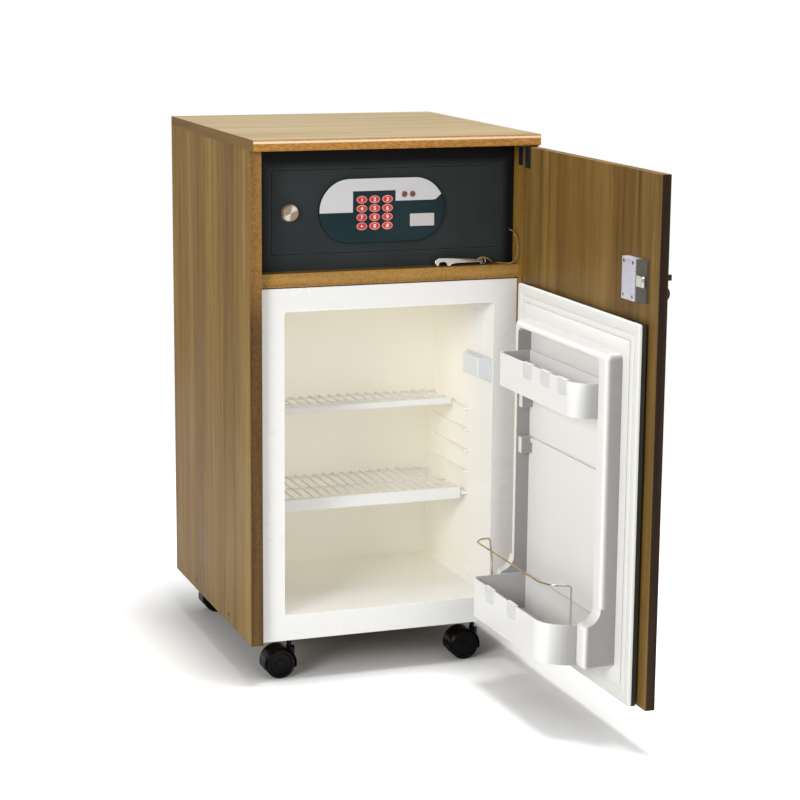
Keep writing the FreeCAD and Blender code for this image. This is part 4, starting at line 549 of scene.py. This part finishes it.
def lockMetal():
    # Satin casting: a pale lavender flat, and the slope towards the door's edge painted dark as shade.
    g = Graph("lockCasting")
    lines = g.noise(g.stretched((8, 8, 260)), 5, 3)
    pale = g.mix(g.mapped(lines, 0.35, 0.65), (0.52, 0.52, 0.61), (0.66, 0.66, 0.75))
    # Painted shade: the slope is darkened.
    slope = g.mapped(g.axis("y"), -0.6725, -0.6765)
    g.set(Base_Color=g.mix(slope, pale, (0.10, 0.095, 0.08)))
    g.shader.inputs["Metallic"].default_value = 0.35
    g.set(Roughness=g.uneven(lines, 0.34, 0.46))
    g.bump(lines, 0.08, 0.0002)
    return g.material


materials = {
    "carcass_veneer": veneer("walnutVeneer", walnut, "z", sideBand),
    "shelf": veneer("walnutShelf", walnut, "x", shelfBand),
    "door": veneer("walnutDoor", doorWalnut, "z", doorEdge),
    "top_veneer": veneer("walnutTop", walnut, "x", topFaces),
    "back_board": coated("hardboard", (0.16, 0.10, 0.06), rough=0.8, grain=500, depth=0.4),
    "safe_paint": safePaint(paintSetup),
    "fascia_plastic": coated("fasciaPlastic", (0.007, 0.023, 0.028), rough=0.35, grain=1800, depth=0.10,
                             worn=(0.03, 0.05, 0.06), shine=0.2),
    "keypad_red": coated("keyRed", (0.60, 0.035, 0.028), rough=0.4, depth=0.05),
    "lamp_lens": coated("lampLens", (0.15, 0.07, 0.04), rough=0.12, grain=300, depth=0.02),
    "silver_plastic": coated("silverPlastic", (0.50, 0.48, 0.47), rough=0.34, depth=0.05,
                             worn=(0.62, 0.62, 0.62)),
    "knob_metal": brushedDisc(),
    "bright_steel": metal("zincSteel", (0.62, 0.61, 0.58), rough=0.25),
    "black_steel": coated("blackSteel", (0.012, 0.012, 0.013), rough=0.32, depth=0.08,
                          worn=(0.10, 0.10, 0.10)),
    "white_enamel": whitePlastic("whiteEnamel", (0.80, 0.80, 0.785), rough=0.28),
    # The liner carries painted warm light and glow.
    "white_plastic": whitePlastic("linerPlastic", (0.84, 0.83, 0.80), rough=0.26, warm=paintedWarmLight),
    # The door liner's and balconies' end faces and upward faces carry painted shade.
    "door_white": whitePlastic("doorLinerPlastic", (0.80, 0.785, 0.765), ends=(0.27, 0.263, 0.255)),
    "balcony_white": whitePlastic("balconyPlastic", (0.80, 0.79, 0.775), ends=(0.33, 0.325, 0.32)),
    "shelf_coating": whitePlastic("shelfCoating", (0.82, 0.82, 0.80)),
    "cooling_steel": coolingPaint(),
    "caster_black": coated("casterBlack", (0.0025, 0.0025, 0.0027), rough=0.22, grain=500, depth=0.03,
                           worn=(0.02, 0.02, 0.02), shine=0.15),
    "lock_silver": lockMetal(),
    "bolt_nickel": metal("nickel", (0.78, 0.76, 0.70), rough=0.12),
    "key_black": coated("keyBlack", (0.010, 0.010, 0.010), rough=0.35, depth=0.05, worn=(0.05, 0.05, 0.05)),
    "door_skin": coated("doorSkin", (0.022, 0.021, 0.015), grain=700, depth=0.06,
                        worn=(0.10, 0.10, 0.08), shine=0.25),
    "seal_white": whitePlastic("sealRubber", (0.74, 0.74, 0.70), rough=0.5),
    "guard_wire": wireGold(),
    "opener_metal": metal("openerChrome", (0.80, 0.80, 0.79), rough=0.12, dark=(0.55, 0.55, 0.55)),
    # The clips' near-white rim colour is a painted highlight.
    "clip_clear": clearPlastic("clearMoulding", (0.93, 0.93, 0.95), through=0.35, rough=0.16,
                               rim=(0.98, 0.98, 0.98)),
    "lamp_cover": whitePlastic("lampHousing", (0.66, 0.69, 0.72), rough=0.25, lit=lampGlow),
    "cord_gold": cordFabric(),
    "label": whitePlastic("fasciaLabel", (0.58, 0.575, 0.585), rough=0.4),
    "keyRim": coated("keyRim", (0.74, 0.42, 0.38), rough=0.4, depth=0.03),
    "digit": coated("digitWhite", (0.86, 0.80, 0.78), depth=0.02),
    "sticker": whitePlastic("infoSticker", (0.82, 0.83, 0.84), rough=0.45),
    "screw_brown": coated("bronzedScrew", (0.030, 0.015, 0.006), rough=0.35, depth=0.06,
                          worn=(0.10, 0.06, 0.03), shine=0.4),
    # Near-black for the screw slots, painted shade.
    "recess": coated("screwRecess", (0.006, 0.006, 0.006), rough=0.5, depth=0.05),
}
nodeLook = {
    "side_screws": "screw_brown", "safe_shelf": "shelf", "bottom_panel": "shelf", "door_panel": "door",
    "fridge_door_liner": "door_white", "door_fixings": "door_white",
    "upper_balcony": "balcony_white", "lower_balcony": "balcony_white",
}
weldDistance = 0.00001
slotOf = {one["node"]: one["material_slot"] for one in record["subparts"]}
softEdges = {
    "safe_body": 0.8, "safe_door": 0.5, "fridge_housing": 1.2, "keypad_fascia": 0.2, "lock_case": 0.6,
    "lock_bolt": 0.3, "door_hinge_leaves": 0.3, "hinge_brackets": 0.3, "strike_plate": 0.2,
    "left_side_panel": 0.5, "right_side_panel": 0.5, "bottom_panel": 0.5, "safe_shelf": 0.4,
    "upper_balcony": 1.1, "lower_balcony": 1.1, "fridge_door_liner": 1.4, "door_panel": 0.4,
    "fridge_door_skin": 0.5, "lamp_box": 0.5,
}


def soften(piece, width, segments=3, angle=40):
    bevel = piece.modifiers.new("softEdge", "BEVEL")
    bevel.width = width * mm
    bevel.segments = segments
    bevel.limit_method = "ANGLE"
    bevel.angle_limit = math.radians(angle)
    bevel.harden_normals = True


def dressNode(name, node):
    node.data.materials.clear()
    node.data.materials.append(materials[nodeLook.get(name, slotOf[name])])
    if name in softEdges:
        weld = node.modifiers.new("weld", "WELD")
        weld.merge_threshold = weldDistance
        soften(node, softEdges[name])


for name, node in nodes.items():
    dressNode(name, node)
openerCord.data.materials.append(materials["cord_gold"])
print("materials on", len(nodes), "nodes")

# small tools for the pieces


def meshPiece(name, points, faces, body, look, slot, smooth=False):
    # The points are in millimetres, in the row frame.
    mesh = bpy.data.meshes.new(name)
    mesh.from_pydata([tuple(one * mm for one in point) for point in points], [], faces)
    shell = bmesh.new()
    shell.from_mesh(mesh)
    bmesh.ops.remove_doubles(shell, verts=shell.verts, dist=0.000002)
    bmesh.ops.recalc_face_normals(shell, faces=shell.faces)
    shell.to_mesh(mesh)
    shell.free()
    return finishPiece(mesh, name, body, look, slot, smooth)


def finishPiece(mesh, name, body, look, slot, smooth=False):
    mesh.materials.clear()
    mesh.materials.append(look)
    if smooth:
        mesh.shade_smooth()
    piece = bpy.data.objects.new(name, mesh)
    bpy.context.collection.objects.link(piece)
    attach(piece, body)
    return piece


def meshOf(holder):
    # The evaluated shape of a helper object, which is then removed.
    bpy.context.view_layer.update()
    mesh = bpy.data.meshes.new_from_object(holder.evaluated_get(bpy.context.evaluated_depsgraph_get()))
    holder.modifiers.clear()
    bpy.data.objects.remove(holder)
    return mesh


def prism(outline, near, far, place):
    # A flat outline given as (a, b) pairs, closed between two depths; place(a, b, depth) gives the point.
    count = len(outline)
    points = [place(a, b, near) for a, b in outline] + [place(a, b, far) for a, b in outline]
    faces = [tuple(range(count)), tuple(range(2 * count - 1, count - 1, -1))]
    faces += [(n, n + count, (n + 1) % count + count, (n + 1) % count) for n in range(count)]
    return points, faces


def band(outer, inner, near, far, place):
    # A flat ring between two outlines with as many points each.
    count = len(outer)
    points = [place(a, b, depth) for depth in (near, far) for loop in (outer, inner) for a, b in loop]
    faces = []
    for n in range(count):
        m = (n + 1) % count
        faces.append((n, m, count + m, count + n))
        faces.append((2 * count + m, 2 * count + n, 3 * count + n, 3 * count + m))
        faces.append((n, 2 * count + n, 2 * count + m, m))
        faces.append((count + m, 3 * count + m, 3 * count + n, count + n))
    return points, faces


def arc(centre, radius, start, end, steps):
    # Points of an arc; the angles are in degrees.
    turns = [math.radians(start + (end - start) * n / steps) for n in range(steps + 1)]
    return [(centre[0] + radius * math.cos(turn), centre[1] + radius * math.sin(turn)) for turn in turns]


def oval(centre, across, high, steps=40):
    x, z = centre
    turns = [2 * math.pi * n / steps for n in range(steps)]
    return [(x + across / 2 * math.cos(turn), z + high / 2 * math.sin(turn)) for turn in turns]


def faceOn(x, z, y):
    return (x, y, z)


def middleOf(name):
    low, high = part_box(name)
    return [(a + b) / 2 / mm for a, b in zip(low, high)]


# keypad: light field of the fascia, key rims and numbers, lamp rims

keypadSizes = {
    "middle": (-10, 767.45), "halfLength": 54.5, "radius": 51.3, "face": -215, "thick": 0.12, "sunk": 0.02,
    "leftBottom": 765.2, "notchLeft": -60, "notchRight": 12, "notchTop": 799, "rightBottom": 782,
    "shoulder": ((81, 783), (76, 782)), "tipHeight": 791, "leftSteps": 28, "rightSteps": 20,
}


def makeKeypadLabel(sizes):
    cx, cz = sizes["middle"]
    radius = sizes["radius"]
    left = cx - sizes["halfLength"]
    right = cx + sizes["halfLength"]
    low = math.degrees(math.asin((cz - sizes["leftBottom"]) / radius))
    tip = math.degrees(math.asin((sizes["tipHeight"] - cz) / radius))
    outline = arc((left, cz), radius, 180 + low, 90, sizes["leftSteps"])
    outline += arc((right, cz), radius, 90, tip, sizes["rightSteps"])
    outline += sizes["shoulder"]
    outline += [(sizes["notchRight"], sizes["rightBottom"]), (sizes["notchRight"], sizes["notchTop"])]
    outline += [(sizes["notchLeft"], sizes["notchTop"]), (sizes["notchLeft"], sizes["leftBottom"])]
    front = sizes["face"] - sizes["thick"]
    points, faces = prism(outline, front, sizes["face"] + sizes["sunk"], faceOn)
    meshPiece("keypadLabel", points, faces, "safe_door_body", materials["label"], "fascia_plastic")


keySizes = {
    "across": 17.5, "high": 12.1, "rim": 0.95, "face": -216.6, "proud": 0.12, "sunk": 0.3,
    "digit": 8.6, "sign": 8.0, "bold": 0.22, "thick": 0.24, "signProud": 0.04,
}
keySigns = {"key_left_corner": "*", "key_right_corner": "#"}


def textMesh(name, words, size):
    curve = bpy.data.curves.new(name, "FONT")
    curve.body = words
    curve.size = size * mm
    curve.extrude = keySizes["thick"] / 2 * mm
    curve.offset = keySizes["bold"] * mm
    curve.align_x = "CENTER"
    curve.align_y = "CENTER"
    holder = bpy.data.objects.new(name, curve)
    bpy.context.collection.objects.link(holder)
    return meshOf(holder)


def makeKeyRim(name, middle, sizes):
    inset = 2 * sizes["rim"]
    outer = oval(middle, sizes["across"], sizes["high"])
    inner = oval(middle, sizes["across"] - inset, sizes["high"] - inset)
    points, faces = band(outer, inner, sizes["face"] - sizes["proud"], sizes["face"] + sizes["sunk"], faceOn)
    meshPiece(name + "_rim", points, faces, name + "_body", materials["keyRim"], "keypad_red")


def makeKeySign(name, middle, sizes):
    size = sizes["sign"] if name in keySigns else sizes["digit"]
    mesh = textMesh(name + "_sign", keySigns.get(name, name[4:]), size)
    across = [point.co.x for point in mesh.vertices]
    high = [point.co.y for point in mesh.vertices]
    centre = ((min(across) + max(across)) / 2, (min(high) + max(high)) / 2, 0)
    x, z = middle
    mesh.transform(Matrix.Translation(-Vector(centre)))
    mesh.transform(Matrix.Rotation(math.pi / 2, 4, "X"))
    mesh.transform(Matrix.Translation((x * mm, (sizes["face"] - sizes["signProud"]) * mm, z * mm)))
    finishPiece(mesh, name + "_sign", name + "_body", materials["digit"], "keypad_red")


lampRimSizes = {"outer": 2.4, "inner": 0.2, "front": -216.0, "back": -215.0, "edge": 0.35}


def makeLampRims(sizes):
    low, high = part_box("safe_leds")
    radius = (high.z - low.z) / 2 / mm
    middle = (low.z + high.z) / 2 / mm
    for side, x in (("left", low.x / mm + radius), ("right", high.x / mm - radius)):
        outer = oval((x, middle), 2 * radius + sizes["outer"], 2 * radius + sizes["outer"])
        inner = oval((x, middle), 2 * radius + sizes["inner"], 2 * radius + sizes["inner"])
        points, faces = band(outer, inner, sizes["front"], sizes["back"], faceOn)
        look = materials["silver_plastic"]
        piece = meshPiece("lampRim_" + side, points, faces, "safe_door_body", look, "silver_plastic")
        soften(piece, sizes["edge"])


makeKeypadLabel(keypadSizes)
for name in nodes:
    if name.startswith("key_"):
        x, _, z = middleOf(name)
        makeKeyRim(name, (x, z), keySizes)
        makeKeySign(name, (x, z), keySizes)
makeLampRims(lampRimSizes)
print("keypad")

# bottle opener, lying on the shelf, and the cord's loop round its end

openerSizes = {"left": 76, "stretch": 1.065, "floor": 674.1, "front": -227.5, "back": -218.5, "edge": 0.9}
openerOutline = [
    (4.3, 0), (0, 6.4), (1.6, 10.6), (7, 13.9), (17, 13.8), (28, 13.2), (57, 11.2), (78.6, 9.1), (78.6, 4.3),
    (57, 4.8), (33.7, 4.3), (28.4, 3.2), (24.6, 0), (20.9, 0), (18.7, 5.4), (14.4, 7.4), (8, 6.4), (5.8, 0),
]


def makeOpener(sizes):
    def place(x, z, y):
        return (sizes["left"] + x * sizes["stretch"], y, sizes["floor"] + z)
    points, faces = prism(openerOutline, sizes["front"], sizes["back"], place)
    piece = meshPiece("openerBody", points, faces, "cabinet", materials["opener_metal"], "opener_metal")
    soften(piece, sizes["edge"], 3, 15)
    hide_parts("bottle_opener")


def tubeAlong(name, route, radius, look, slot):
    # A closed loop of wire or cord.
    curve = bpy.data.curves.new(name, "CURVE")
    curve.dimensions = "3D"
    curve.bevel_depth = radius * mm
    curve.bevel_resolution = 4
    spline = curve.splines.new("NURBS")
    spline.points.add(len(route) - 1)
    for point, place in zip(spline.points, route):
        point.co = (*[one * mm for one in place], 1)
    spline.order_u = 3
    spline.use_cyclic_u = True
    spline.resolution_u = 8
    holder = bpy.data.objects.new(name, curve)
    bpy.context.collection.objects.link(holder)
    finishPiece(meshOf(holder), name, "cabinet", look, slot, True)


loopSizes = {
    "middle": (165, -223, 681.0), "half": 12.5, "rise": 4.6, "wide": 5.2, "fall": 0.25, "radius": 0.95,
    "points": 14,
}
ringSizes = {"middle": (160.5, -223, 680.6), "radius": 5.2, "lean": 1.5, "wire": 0.8, "points": 10}


def makeOpenerLoop(sizes):
    x, y, z = sizes["middle"]
    half = sizes["half"]
    route = []
    for n in range(sizes["points"]):
        turn = 2 * math.pi * n / sizes["points"]
        side = math.cos(turn)
        out = sizes["wide"] * math.sin(turn) * (0.5 + 0.5 * math.sin(turn * 0.5))
        lift = sizes["rise"] * math.sin((side + 1) / 2 * math.pi) - sizes["fall"] * side * half
        route.append((x + half * side, y + out, z + lift))
    tubeAlong("openerCordLoop", route, sizes["radius"], materials["cord_gold"], "cord_gold")


def makeOpenerRing(sizes):
    x, y, z = sizes["middle"]
    radius = sizes["radius"]
    turns = [2 * math.pi * n / sizes["points"] for n in range(sizes["points"])]
    route = [(x + radius * math.cos(turn), y + sizes["lean"] * math.sin(turn), z + radius * math.sin(turn))
             for turn in turns]
    tubeAlong("openerRing", route, sizes["wire"], materials["opener_metal"], "opener_metal")


makeOpener(openerSizes)
makeOpenerLoop(loopSizes)
makeOpenerRing(ringSizes)
print("bottle opener")

# door seal, swept round the fridge door's edge

doorAngle = math.radians(90.9)
doorPivot = (231, -257.6)
fridgeDoor = {"start": -12, "seal": 26.9, "width": 434, "low": 71, "high": 649}


def onDoor(x, y, z):
    # A point of the closed door's own frame, carried to where the door stands.
    return (
        doorPivot[0] + x * math.cos(doorAngle) - y * math.sin(doorAngle),
        doorPivot[1] + x * math.sin(doorAngle) + y * math.cos(doorAngle),
        z,
    )


sealSizes = {"corner": 4, "least": 0.25, "steps": 5, "crease": 50}
sealProfile = [
    (5, 20.9), (5, 21.7), (0.1, 21.7), (0, 22.3), (0, 25.2), (0.4, 26.1), (1.2, 26.6), (3, 26.9),
    (14.5, 26.9), (15.6, 26.5), (16.2, 25.6), (17, 25.3), (17.8, 25.6), (18.4, 26.5), (19.5, 26.9),
    (26.6, 26.9), (27.7, 26.5), (28, 25.4), (28, 20.9),
]


def makeSeal(sizes, profile):
    door = fridgeDoor
    rings = []
    for inset, height in profile:
        radius = max(sizes["corner"] - inset, sizes["least"])
        left = inset + radius
        right = door["width"] - inset - radius
        low = door["low"] + inset + radius
        high = door["high"] - inset - radius
        ring = []
        corners = ((right, high), (left, high), (left, low), (right, low))
        for start, centre in zip((0, 90, 180, 270), corners):
            outline = arc(centre, radius, start, start + 90, sizes["steps"])
            ring += [onDoor(door["start"] - t, height, z) for t, z in outline]
        rings.append(ring)
    count = len(rings[0])
    points = [point for ring in rings for point in ring]
    faces = []
    for n in range(len(rings)):
        for k in range(count):
            a, b = n * count, (n + 1) % len(rings) * count
            faces.append((a + k, a + (k + 1) % count, b + (k + 1) % count, b + k))
    piece = meshPiece("doorSeal", points, faces, "cabinet_door", materials["seal_white"], "seal_white", True)
    piece.data.set_sharp_from_angle(angle=math.radians(sizes["crease"]))
    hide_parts("door_gasket")


makeSeal(sealSizes, sealProfile)
print("door seal")

# clear bottle clips, hooked over the balconies' rims

clipSizes = {
    "upper": {"middles": (178, 244, 305), "rim": 550, "reach": 60},
    "lower": {"middles": (135, 222), "rim": 181, "reach": 99},
    "wide": 32, "high": 24, "thick": 1.4, "wall": 3, "gap": 0.15, "corner": 9, "steps": 6, "tuck": 7,
    "edge": 0.35,
}


def clipFront(sizes, middle, rim):
    half = sizes["wide"] / 2
    radius = sizes["corner"]
    low = rim - sizes["high"] + radius
    top = rim + sizes["thick"]
    left = arc((middle - half + radius, low), radius, 180, 270, sizes["steps"])
    right = arc((middle + half - radius, low), radius, 270, 360, sizes["steps"])
    return [(middle - half, top), *left, *right, (middle + half, top)]


def clipStrip(sizes, middle, low, high):
    half = sizes["wide"] / 2
    return [(middle - half, low), (middle + half, low), (middle + half, high), (middle - half, high)]


def onClip(t, z, y):
    return onDoor(fridgeDoor["start"] - t, y, z)


def makeClips(sizes):
    # Each clip has a rounded front, a strip over the rim and a short tab behind the wall.
    points, faces = [], []
    thick, gap = sizes["thick"], sizes["gap"]
    for row in (sizes["upper"], sizes["lower"]):
        rim = row["rim"]
        front = fridgeDoor["seal"] + row["reach"] + gap
        back = front - sizes["wall"] - 2 * gap
        for middle in row["middles"]:
            strip = clipStrip(sizes, middle, rim + gap, rim + thick)
            tab = clipStrip(sizes, middle, rim - sizes["tuck"], rim + thick)
            layers = (
                (clipFront(sizes, middle, rim), front + thick - gap, front),
                (strip, front, back),
                (tab, back, back + gap - thick),
            )
            for outline, near, far in layers:
                some, sides = prism(outline, near, far, onClip)
                faces += [tuple(n + len(points) for n in side) for side in sides]
                points += some
    piece = meshPiece("bottleClips", points, faces, "cabinet_door", materials["clip_clear"], "clip_clear")
    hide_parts("bottle_clips")
    soften(piece, sizes["edge"], 2)


makeClips(clipSizes)
print("bottle clips")

# screw recesses, a crossed slot on every screw head, near-black bars that paint the shade inside the slot


def looseParts(name):
    # Boxes of the separate solids in one node, in metres.
    shell = bmesh.new()
    shell.from_mesh(nodes[name].data)
    bmesh.ops.remove_doubles(shell, verts=shell.verts, dist=weldDistance)
    seen, boxes = set(), []
    for vertex in shell.verts:
        if vertex in seen:
            continue
        stack, part = [vertex], []
        seen.add(vertex)
        while stack:
            one = stack.pop()
            part.append(one.co.copy())
            for edge in one.link_edges:
                other = edge.other_vert(one)
                if other not in seen:
                    seen.add(other)
                    stack.append(other)
        boxes.append([[side(point[k] for point in part) for k in range(3)] for side in (min, max)])
    shell.free()
    return boxes


slotSizes = {"Length": 4.2, "Width": 0.8, "Depth": 0.3}
slotRows = (
    {"name": "sideScrewSlots", "node": "side_screws", "body": "cabinet", "length": 4.6},
    {"name": "doorScrewSlots", "node": "door_screws", "body": "cabinet_door", "length": 3.6},
)


def recessTree():
    tree = bpy.data.node_groups.new("screwRecess", "GeometryNodeTree")
    tree.interface.new_socket("Geometry", in_out="INPUT", socket_type="NodeSocketGeometry")
    for label, value in slotSizes.items():
        socket = tree.interface.new_socket(label, in_out="INPUT", socket_type="NodeSocketFloat")
        socket.default_value = value * mm
    tree.interface.new_socket("Material", in_out="INPUT", socket_type="NodeSocketMaterial")
    tree.interface.new_socket("Geometry", in_out="OUTPUT", socket_type="NodeSocketGeometry")
    add = tree.nodes.new
    link = tree.links.new
    given, result = add("NodeGroupInput"), add("NodeGroupOutput")
    join = add("GeometryNodeJoinGeometry")
    for turned in (False, True):
        bar = add("GeometryNodeMeshCube")
        shape = add("ShaderNodeCombineXYZ")
        link(given.outputs["Width" if turned else "Length"], shape.inputs["X"])
        link(given.outputs["Length" if turned else "Width"], shape.inputs["Y"])
        link(given.outputs["Depth"], shape.inputs["Z"])
        link(shape.outputs[0], bar.inputs["Size"])
        link(bar.outputs["Mesh"], join.inputs["Geometry"])
    aim = add("GeometryNodeInputNamedAttribute")
    aim.data_type = "FLOAT_VECTOR"
    aim.inputs["Name"].default_value = "facing"
    turn = add("FunctionNodeAlignRotationToVector")
    turn.axis = "Z"
    link(aim.outputs["Attribute"], turn.inputs["Vector"])
    spread = add("GeometryNodeInstanceOnPoints")
    link(given.outputs["Geometry"], spread.inputs["Points"])
    link(join.outputs[0], spread.inputs["Instance"])
    link(turn.outputs["Rotation"], spread.inputs["Rotation"])
    real = add("GeometryNodeRealizeInstances")
    paint = add("GeometryNodeSetMaterial")
    link(spread.outputs[0], real.inputs[0])
    link(real.outputs[0], paint.inputs["Geometry"])
    link(given.outputs["Material"], paint.inputs["Material"])
    link(paint.outputs[0], result.inputs[0])
    return tree


def socketOf(tree, label):
    sockets = [one for one in tree.interface.items_tree if one.in_out == "INPUT"]
    return next(one.identifier for one in sockets if one.name == label)


def grown(name, points, facing, tree, values, material):
    # Runs a node tree on a cloud of points and returns the plain mesh.
    cloud = bpy.data.meshes.new(name + "Points")
    cloud.from_pydata(points, [], [])
    aim = cloud.attributes.new("facing", "FLOAT_VECTOR", "POINT")
    for n, one in enumerate(facing):
        aim.data[n].vector = one
    holder = bpy.data.objects.new(name + "Points", cloud)
    bpy.context.collection.objects.link(holder)
    maker = holder.modifiers.new("maker", "NODES")
    maker.node_group = tree
    for label, value in values.items():
        maker[socketOf(tree, label)] = value * mm
    maker[socketOf(tree, "Material")] = material
    return meshOf(holder)


def makeScrewRecesses(row, tree):
    points, facing = [], []
    for low, high in looseParts(row["node"]):
        outward = 1 if row["node"] == "side_screws" and low[0] > 0 else -1
        face = high[0] if outward > 0 else low[0]
        points.append((face, (low[1] + high[1]) / 2, (low[2] + high[2]) / 2))
        facing.append((outward, 0, 0))
    sizes = {**slotSizes, "Length": row["length"]}
    mesh = grown(row["name"], points, facing, tree, sizes, materials["recess"])
    finishPiece(mesh, row["name"], row["body"], materials["recess"], slotOf[row["node"]])


slotTree = recessTree()
for row in slotRows:
    makeScrewRecesses(row, slotTree)
print("screw recesses")

# blank info sticker on the inner wall, above the lamp

stickerSizes = {"front": -194, "back": -148, "low": 530, "high": 590, "thick": 0.25, "sunk": 0.02}


def makeSticker(sizes):
    liner = nodes["fridge_liner"]
    front, back, low, high = (sizes[one] for one in ("front", "back", "low", "high"))
    corners = []
    for y, z in ((front, low), (back, low), (back, high), (front, high)):
        _, place, _, _ = liner.ray_cast(Vector((0, y * mm, z * mm)), Vector((1, 0, 0)))
        corners.append((place.x / mm, place.y / mm, place.z / mm))
    points = [(x - sizes["thick"], y, z) for x, y, z in corners]
    points += [(x + sizes["sunk"], y, z) for x, y, z in corners]
    faces = [(0, 1, 2, 3), (7, 6, 5, 4)] + [(n, n + 4, (n + 1) % 4 + 4, (n + 1) % 4) for n in range(4)]
    meshPiece("infoSticker", points, faces, "cabinet", materials["sticker"], "white_plastic")


makeSticker(stickerSizes)
print("sticker")
